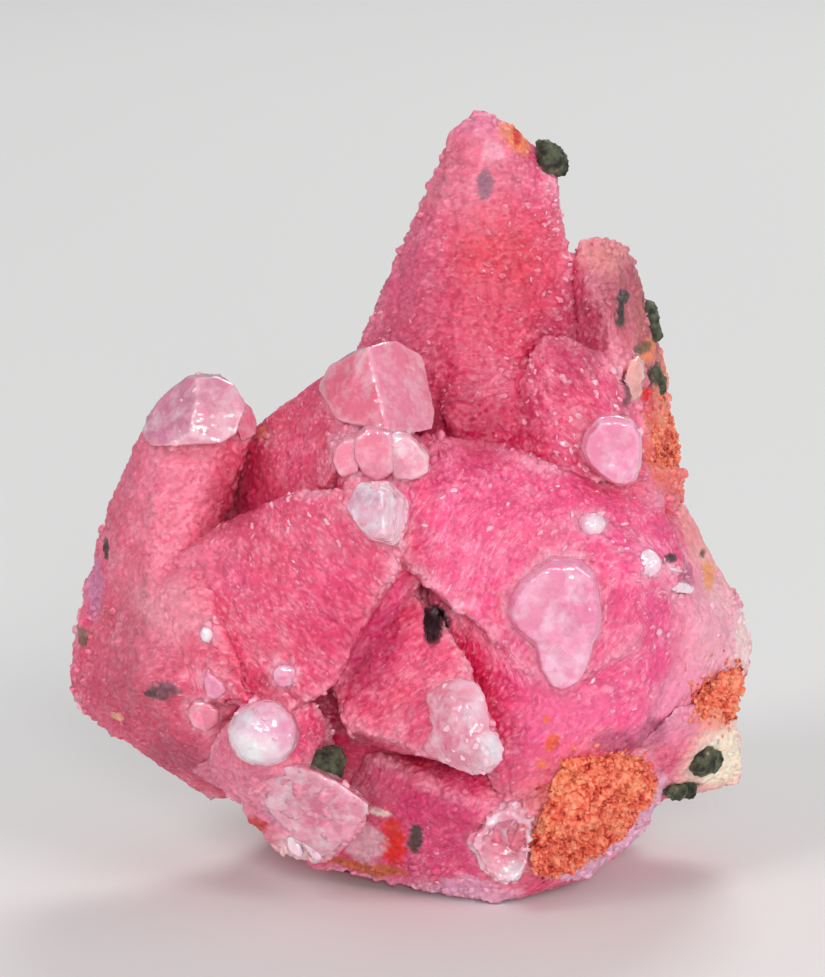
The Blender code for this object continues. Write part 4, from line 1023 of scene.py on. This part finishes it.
# Small things that stand on the surfaces: fine grains in line with the druse, bright flakes whose
# near-white colour is a painted highlight, knobs along its edges, a collar of grains round the foot of
# each clear crystal, and loose crumbs.
smallThings = {
    "grains": {"Spacing": 0.45, "Density": 4.5, "Smallest": 0.25, "Largest": 0.55, "Longest": 1.7,
               "Tilt": 0.3, "Sink": 0.05, "Patch size": 6.0},
    "flakes": {"Spacing": 0.75, "Density": 1.8, "Smallest": 0.25, "Largest": 0.8, "Longest": 2.0,
               "Tilt": 0.9, "Sink": 0.1, "Patch size": 3.0},
    "knobs": {"Spacing": 0.7, "Density": 2.0, "Smallest": 0.6, "Largest": 1.25, "Longest": 1.3,
              "Tilt": 0.6, "Sink": 0.15, "Patch size": 2.5},
    "collar": {"Spacing": 0.4, "Density": 4.5, "Smallest": 0.4, "Largest": 0.8, "Longest": 1.4,
               "Tilt": 0.8, "Sink": 0.1, "Patch size": 1.5},
    "crumbs": {"Spacing": 0.3, "Density": 7.5, "Smallest": 0.25, "Largest": 0.6, "Longest": 1.3,
               "Tilt": 1.5, "Sink": 0.0, "Patch size": 1.2},
}


def dress(obj, slot, node, *kinds):
    # sets these kinds of small things on a piece, each kind as a piece of its own, and finishes both
    for kind in kinds:
        shape, surface = smallLooks[kind]
        small = growOn(objectOf(obj.data.copy(), obj.name + "_" + kind), scatter, surface,
                       {**smallThings[kind], "Weight": kind, "Shape": shape, "Seed": len(finished)})
        if small.data.polygons:
            finish(small, slot, node, smooth=kind in ("knobs", "crumbs"))
        else:
            bpy.data.objects.remove(small)
    finish(obj, slot, node)


def coarser(sizes, times):
    # the same growth with its relief so many times as high
    high = ("Relief", "Lump height", "Knob height")
    return {label: size * times if label in high else size for label, size in sizes.items()}


# The crystals that have grown into one mass share a mesh.
pinkMasses = {
    "top_crystal": ("top", "top_foot"),
    "right_crystals": ("right", "right_front"),
    "upper_left_crystal": ("upper_left",),
    "centre_left_crystal": ("centre_left",),
    "lower_centre_crystal": ("lower_centre",),
    "left_crystals": ("arm", "lower_left", "left_bridge"),
    "lower_left_crystals": ("ball_body", "foot"),
    "right_mass": ("centre_right", "centre_body", "right_lobe", "rim_bridge"),
    "lower_mass": ("bottom", "bottom_right", "right_foot"),
    "recess": ("recess",),
    "core": ("core",),
}
druseSizes = {"Grain size": 0.6, "Stretch": 2.0, "Relief": 0.27, "Lean": 0.4, "Lump size": 2.6,
              "Lump height": 0.7, "Knob size": 1.15, "Knob height": 0.6, "Swell": 0.8, "Settle": 0.1}
# How finely a mass is meshed, how far its rims and the pale halo round clear crystals (partly painted
# light) reach, how wide one crystal blends into the next, how far out the painted shade of a crease is
# felt for, and where the mass is cut off.
druseMesh = {"voxel": 0.28, "coreVoxel": 0.45, "softness": 18, "rimWidth": 1.3, "sharpest": 42,
             "halo": 0.8, "haloPaleness": 0.9, "blend": 0.7, "foldReach": (1.2, 2.4, 4), "cut": 0.02}
softer = {"top_crystal": 34, "left_crystals": 40, "lower_left_crystals": 26, "right_crystals": 30}
# How far small things keep from other pink crystals, from clear ones and crusts, and from the floor,
# how thickly knobs stand on rims and round clear crystals, and how far crumbs stray from a crust.
smallPlaces = {"fromPink": 0.25, "fromOthers": 0.1, "fromFloor": 0.6, "onRims": 0.35,
               "roundClear": 0.8, "crumbFade": 0.6, "crumbReach": 2.5}
pit = {"middle": (2.1, -13.2, 30.2), "half": (0.9, 3.0, 1.9), "depth": 3.0, "steepness": 4}

clearBodies = {**clearCrystals,
               **{name: plateCorners(**plate) for name, plate in clearPlates.items()},
               **{name: roundCorners(*sizes) for name, sizes in clearRounds.items()}}
pinkPlanes = {name: planesOf(crystal["corners"]) for name, crystal in pinkCrystals.items()}
clearPlanes = [planesOf(corners) for corners in clearBodies.values()]
crustPlanes = [planesOf(corners) for corners in orangeCrusts.values()]


def pinkMass(name, members, tree, surface):
    facts = [pinkCrystals[member] for member in members]
    obj = grownMesh(hullOf(*[fact["corners"] for fact in facts]), name,
                    druseMesh["coreVoxel" if name == "core" else "voxel"],
                    softer.get(name, druseMesh["softness"]))
    others = [planes for other, planes in pinkPlanes.items() if other not in members]
    thinBuried(obj, *others)
    mesh = obj.data
    points, normals = valuesOf(mesh, "co"), valuesOf(mesh, "normal")
    # each point takes its looks from the crystals it lies on
    own = np.array([outsideBy(points, pinkPlanes[member]) for member in members])
    weights = np.exp(-(own - own.min(axis=0)) / druseMesh["blend"])
    weights /= weights.sum(axis=0)

    def blended(values):
        return sum(weight * value for weight, value in zip(weights, values))

    rims = [np.exp(-(nearestEdge(points, fact["corners"], druseMesh["sharpest"])
                     / druseMesh["rimWidth"]) ** 2) for fact in facts]
    paleRims = [rim * fact.get("paleEdges", 1) for rim, fact in zip(rims, facts)]
    clearFar = outsideBy(points, *clearPlanes)
    # a pale halo round each clear crystal: partly the pale grains there, partly painted light that lifts
    # the shade at their foot
    halo = np.exp(-(np.maximum(clearFar, 0) / druseMesh["halo"]) ** 2)
    # painted shade: how far each point lies down in a crease between crystals, felt a few steps out
    # along its normal
    fold = sum(1 - np.clip(outsideBy(points + normals * reach, *pinkPlanes.values()) / reach, 0, 1)
               for reach in druseMesh["foldReach"]) / len(druseMesh["foldReach"])
    pinkFar, crustFar = outsideBy(points, *others), outsideBy(points, *crustPlanes)
    at = smallPlaces
    bare = ((pinkFar > at["fromPink"]) & (np.minimum(crustFar, clearFar) > at["fromOthers"])
            & (points[:, 2] > at["fromFloor"]))
    knobs = blended(rims) * at["onRims"] + at["roundClear"] * halo + zonesAt(points, coarseDruse)
    crumbs = np.exp(-np.maximum(crustFar, 0) / at["crumbFade"]) * (crustFar < at["crumbReach"])
    writeValues(mesh, rim=np.maximum(blended(rims), halo),
                edge=np.maximum(blended(paleRims), druseMesh["haloPaleness"] * halo),
                streak=blended([math.radians(fact["streak"]) for fact in facts]),
                coral=blended([fact["coral"] for fact in facts]), fold=fold,
                grains=bare * blended([fact["flecks"] for fact in facts]),
                flakes=bare * zonesAt(points, flakeZones), knobs=bare * np.clip(knobs, 0, 1),
                crumbs=(pinkFar > at["fromOthers"]) * crumbs, stain=stainsAndShadeAt(points))
    pressIn(mesh, points, pit)
    growOn(obj, tree, surface, druseSizes)
    cutFlat(obj, druseMesh["cut"])
    return obj


# Clear crystals that have grown into one, and those that are worn rounder.
clearTwins = {"shield": "shield_foot", "lower_cap": "lower_tip"}
clearWorn = {"shield": 10, "lower_cap": 16, "foot_plate": 12, "cup": 10, "arm_cap": 12, "ball": 26,
             "small_right": 14, "side_glint": 14, "left_bud": 12, "middle_bud": 14, "low_left_bud": 24}
clearMesh = {"voxel": 0.19, "softness": 6, "rootFade": 0.5, "highlightWidth": 0.25, "sharpest": 26}
clearSizes = {"Grain size": 0.7, "Stretch": 1.6, "Relief": 0.07, "Lean": 0.3, "Lump size": 1.6,
              "Lump height": 0.18, "Knob size": 0.8, "Knob height": 0.12, "Swell": 0.3}
# How many times as high the relief of a clear crystal is, and how thickly bright flakes, painted near
# white as glints, cover it.
clearBeads = {"cup": 5, "foot_plate": 0.9, "side_oval": 2, "ball": 0.5, "lower_cap": 1.6}
clearFlakes = {"bright_cap": 0.5, "ball": 0.25, "side_glint": 0.5, "small_right": 0.5,
               "right_button": 0.15, "pale_right": 0.3, "lower_cap": 0.3, "foot_plate": 0.1,
               "arm_cap": 0.08}
# Where a clear crystal carries a painted glint, whitest there, and how far and how strongly that shows.
paintedGlints = {"cup": (9.6, -13, 5), "lower_cap": (8.2, -23.3, 20.3), "ball": (-15.4, -21, 19.6)}
paintedGlint = {"reach": 1.4, "strength": 2.5}
cupDent = {"middle": (9.1, -13.6, 7.6), "half": (2.2, 4.0, 2.8), "depth": 2.2, "steepness": 3}
plateHeart = {"middle": (-9.5, -15, 11.5), "reach": 3.2}  # the deep middle of the foot plate


def clearCrystal(name, corners, tree, surface):
    twins = [corners]
    if name in clearTwins:
        twins.append(clearBodies[clearTwins[name]])
    obj = grownMesh(hullOf(*twins), "clear_" + name, clearMesh["voxel"],
                    clearWorn.get(name, clearMesh["softness"]))
    thinBuried(obj, *pinkPlanes.values())
    mesh = obj.data
    points, normals = valuesOf(mesh, "co"), valuesOf(mesh, "normal")
    if name == "cup":
        within = pressIn(mesh, points, cupDent)
    pinkFar = outsideBy(points, *pinkPlanes.values())
    root = np.exp(-(np.maximum(pinkFar, 0) / clearMesh["rootFade"]) ** 2)
    # painted highlight: white lines along the sharp facet edges, where the colour turns to the haze
    edges = np.zeros(len(points))
    if len(twins) == 1 and name not in clearRounds:
        edges += np.exp(-(nearestEdge(points, corners, clearMesh["sharpest"])
                          / clearMesh["highlightWidth"]) ** 2)
    # painted highlight: a white glint spot on the cup, the lower cap and the ball
    if name in paintedGlints:
        far = np.linalg.norm(points - paintedGlints[name], axis=1)
        edges += paintedGlint["strength"] * np.exp(-(far / paintedGlint["reach"]) ** 2)
    # painted shade: deeper pink on the sides that face left and on the ball's upper right, with the
    # ball's lower left kept white as a painted highlight; and the plate's own deeper pink in its middle
    deep = np.clip(-1.3 * normals[:, 0], 0, 1) * 0.8
    if name == "ball":
        deep = np.clip(0.5 + 0.7 * normals @ (0.7, 0, 0.5), 0, 1)
    if name == "foot_plate":
        far = np.linalg.norm(points - plateHeart["middle"], axis=1)
        deep = np.clip(1.5 - far / plateHeart["reach"], 0, 1)
    flakes = np.full(len(points), clearFlakes.get(name, 0))
    if name == "cup":
        # deeper pink in its hollow, partly its own colour and partly painted shade, with bright beads
        # round the rim
        deep = np.maximum(deep, 0.9 * np.clip(1.2 - within ** 2, 0, 1))
        flakes = np.exp(-((within - 1.1) / 0.4) ** 2)
    writeValues(mesh, rim=0.4 + 0.6 * root, edge=edges, streak=0, coral=0.5, fold=deep,
                stain=np.zeros((len(points), 4)),
                collar=(pinkFar > -0.1) * np.clip(root - 0.15, 0, 1),
                flakes=(pinkFar > (0.0 if name == "cup" else 0.3)) * flakes)
    return growOn(obj, tree, surface, coarser(clearSizes, clearBeads.get(name, 1)))


backMesh = {"voxel": 0.6, "softness": 1, "front": 3, "rear": 25.4}
backSizes = {"Terrace size": 7.0, "Step height": 1.2, "Roughness": 0.5}


def brokenBack(tree, surface):
    obj = grownMesh(hullOf(*[blockCorners(*sizes) for sizes in backBlocks.values()]), "broken_back",
                    backMesh["voxel"], backMesh["softness"])
    growOn(obj, tree, surface, backSizes)
    cutOff(obj, (0, backMesh["front"], 0), (0, -1, 0))
    cutOff(obj, (0, backMesh["rear"], 0), (0, 1, 0))
    cutFlat(obj, 0)
    return obj


velvetMesh = {"voxel": 0.12, "softness": 6}
velvetSizes = {"Grain size": 0.3, "Stretch": 1.0, "Relief": 0.12, "Lean": 0.2, "Lump size": 1.2,
               "Lump height": 0.35, "Knob size": 0.6, "Knob height": 0.25, "Swell": 0.5}


def greenNodule(name, balls, tree, surface):
    shape = bmesh.new()
    for middle, radius in balls:
        bmesh.ops.create_icosphere(shape, subdivisions=4, radius=radius,
                                   matrix=Matrix.Translation(middle))
    obj = grownMesh(shape, name + "_velvet", **velvetMesh)
    writeValues(obj.data, rim=1, streak=0)
    return growOn(obj, tree, surface, velvetSizes)


crustMesh = {"voxel": 0.2, "softness": 5}
crustSizes = {"Grain size": 0.42, "Stretch": 1.0, "Relief": 0.5, "Lean": 0.3, "Lump size": 1.4,
              "Lump height": 0.8, "Knob size": 0.7, "Knob height": 0.8, "Swell": 0.8, "Settle": 0.15}
crustRelief = {"orange_crust_edge": 0.45}  # how many times as high the relief of a thin crust is


def orangeCrust(name, corners, tree, surface):
    obj = grownMesh(hullOf(corners), name + "_crumbly", **crustMesh)
    # loose crumbs lie on the showy side
    writeValues(obj.data, rim=1, streak=0, crumbs=valuesOf(obj.data, "normal")[:, 1] < 0.1)
    return growOn(obj, tree, surface, coarser(crustSizes, crustRelief.get(name, 1)))


print("materials")
druse, knobbly, flecks, bright = [druseMaterial(name, **look) for name, look in druseLooks.items()]
clear, cloudy, milky, frosted, sugary, creamy = [clearMaterial(name, **look)
                                                 for name, look in clearLooks.items()]
broken = brokenMaterial()
green = greenMaterial()
crumbly = crumbMaterial()

print("pink crystals")
growth = druseTree()
scatter = scatterTree()
oneGrain = smallCrystal()
oneCrumb = crumb()
smallLooks = {"grains": (oneGrain, flecks), "flakes": (oneCrumb, bright), "knobs": (oneCrumb, knobbly),
              "crumbs": (oneCrumb, crumbly), "collar": (oneGrain, flecks)}
for name, members in pinkMasses.items():
    dress(pinkMass(name, members, growth, druse), "pink_calcite", "calcite_cluster",
          "grains", "flakes", "knobs", "crumbs")

print("broken back")
finish(brokenBack(brokenTree(), broken), "pink_calcite", "calcite_cluster", smooth=False)

print("clear crystals")
clearFinishes = {
    **dict.fromkeys(clearBodies, milky),
    **dict.fromkeys(("shield", "right_button", "middle_bud", "low_left_facet"), cloudy),
    **dict.fromkeys(("bright_cap", "ball", "small_right", "side_glint", "left_bud", "upper_shard",
                     "lower_shard", "foot_shard", "left_foot_shard"), clear),
    **dict.fromkeys(("lower_cap", "foot_plate", "cup", "pale_right"), sugary),
    "arm_cap": frosted, "side_oval": creamy}
for name, corners in clearBodies.items():
    if name not in clearTwins.values():
        dress(clearCrystal(name, corners, growth, clearFinishes[name]), "pink_calcite",
              "calcite_cluster", "collar", "flakes")

print("nodules and crusts")
for name, balls in greenNodules.items():
    finish(greenNodule(name, balls, growth, green), "green_mineral", name)
for name, corners in orangeCrusts.items():
    dress(orangeCrust(name, corners, growth, crumbly), "orange_crust", name, "crumbs")
for shape in (oneGrain, oneCrumb):
    bpy.data.objects.remove(shape)

print("stage")
floorHalf = 1.5
floor = objectFrom(bmesh.new(), "floor")
floor.data.from_pydata([(across * floorHalf, along * floorHalf, 0)
                        for across, along in ((-1, -1), (1, -1), (1, 1), (-1, 1))], [], [(0, 1, 2, 3)])
floor.data.materials.append(floorMaterial())

world = bpy.data.worlds.new("studio")
world.use_nodes = True
setInputs(world.node_tree.nodes["Background"], {"Color": linear("#E9EBEF"), "Strength": 0.42})
scene.world = world

# Places and sizes of the lamps and the camera are in metres, and what they all face is the specimen.
lookAt = Vector((0.00009, -0.000321, 0.041))
lights = {
    "left": {"place": (-0.9, -1.0, 1.2), "size": 0.5, "power": 7.0},
    "right": {"place": (1.0, -1.1, 0.9), "size": 0.6, "power": 8.0},
    "front": {"place": (0.1, -1.5, 0.5), "size": 0.4, "power": 9.5},
    "back": {"place": (0.3, 1.1, 1.2), "size": 0.6, "power": 8.0},
}
view = {"elevation": 12, "distance": 0.407, "lens": 150, "sensor": 36, "nearest": 0.01}


def aim(obj, place, towards):
    obj.location = place
    obj.rotation_mode = "QUATERNION"
    obj.rotation_quaternion = towards.to_track_quat("-Z", "Y")


for name, facts in lights.items():
    lamp = bpy.data.lights.new(name, "AREA")
    lamp.size = facts["size"]
    lamp.energy = facts["power"]
    place = Vector(facts["place"])
    aim(objectOf(lamp, name), place, lookAt - place)

elevation = math.radians(view["elevation"])
back = Vector((0, -math.cos(elevation), math.sin(elevation)))
camera = objectOf(bpy.data.cameras.new("camera"), "camera")
camera.data.lens = view["lens"]
camera.data.sensor_width = view["sensor"]
camera.data.clip_start = view["nearest"]
aim(camera, lookAt + back * view["distance"], -back)
scene.camera = camera
scene.view_settings.view_transform = "Standard"

triangles = 0
for obj in finished:
    obj.data.calc_loop_triangles()
    triangles += len(obj.data.loop_triangles)
print("pieces", len(finished), "triangles", triangles)
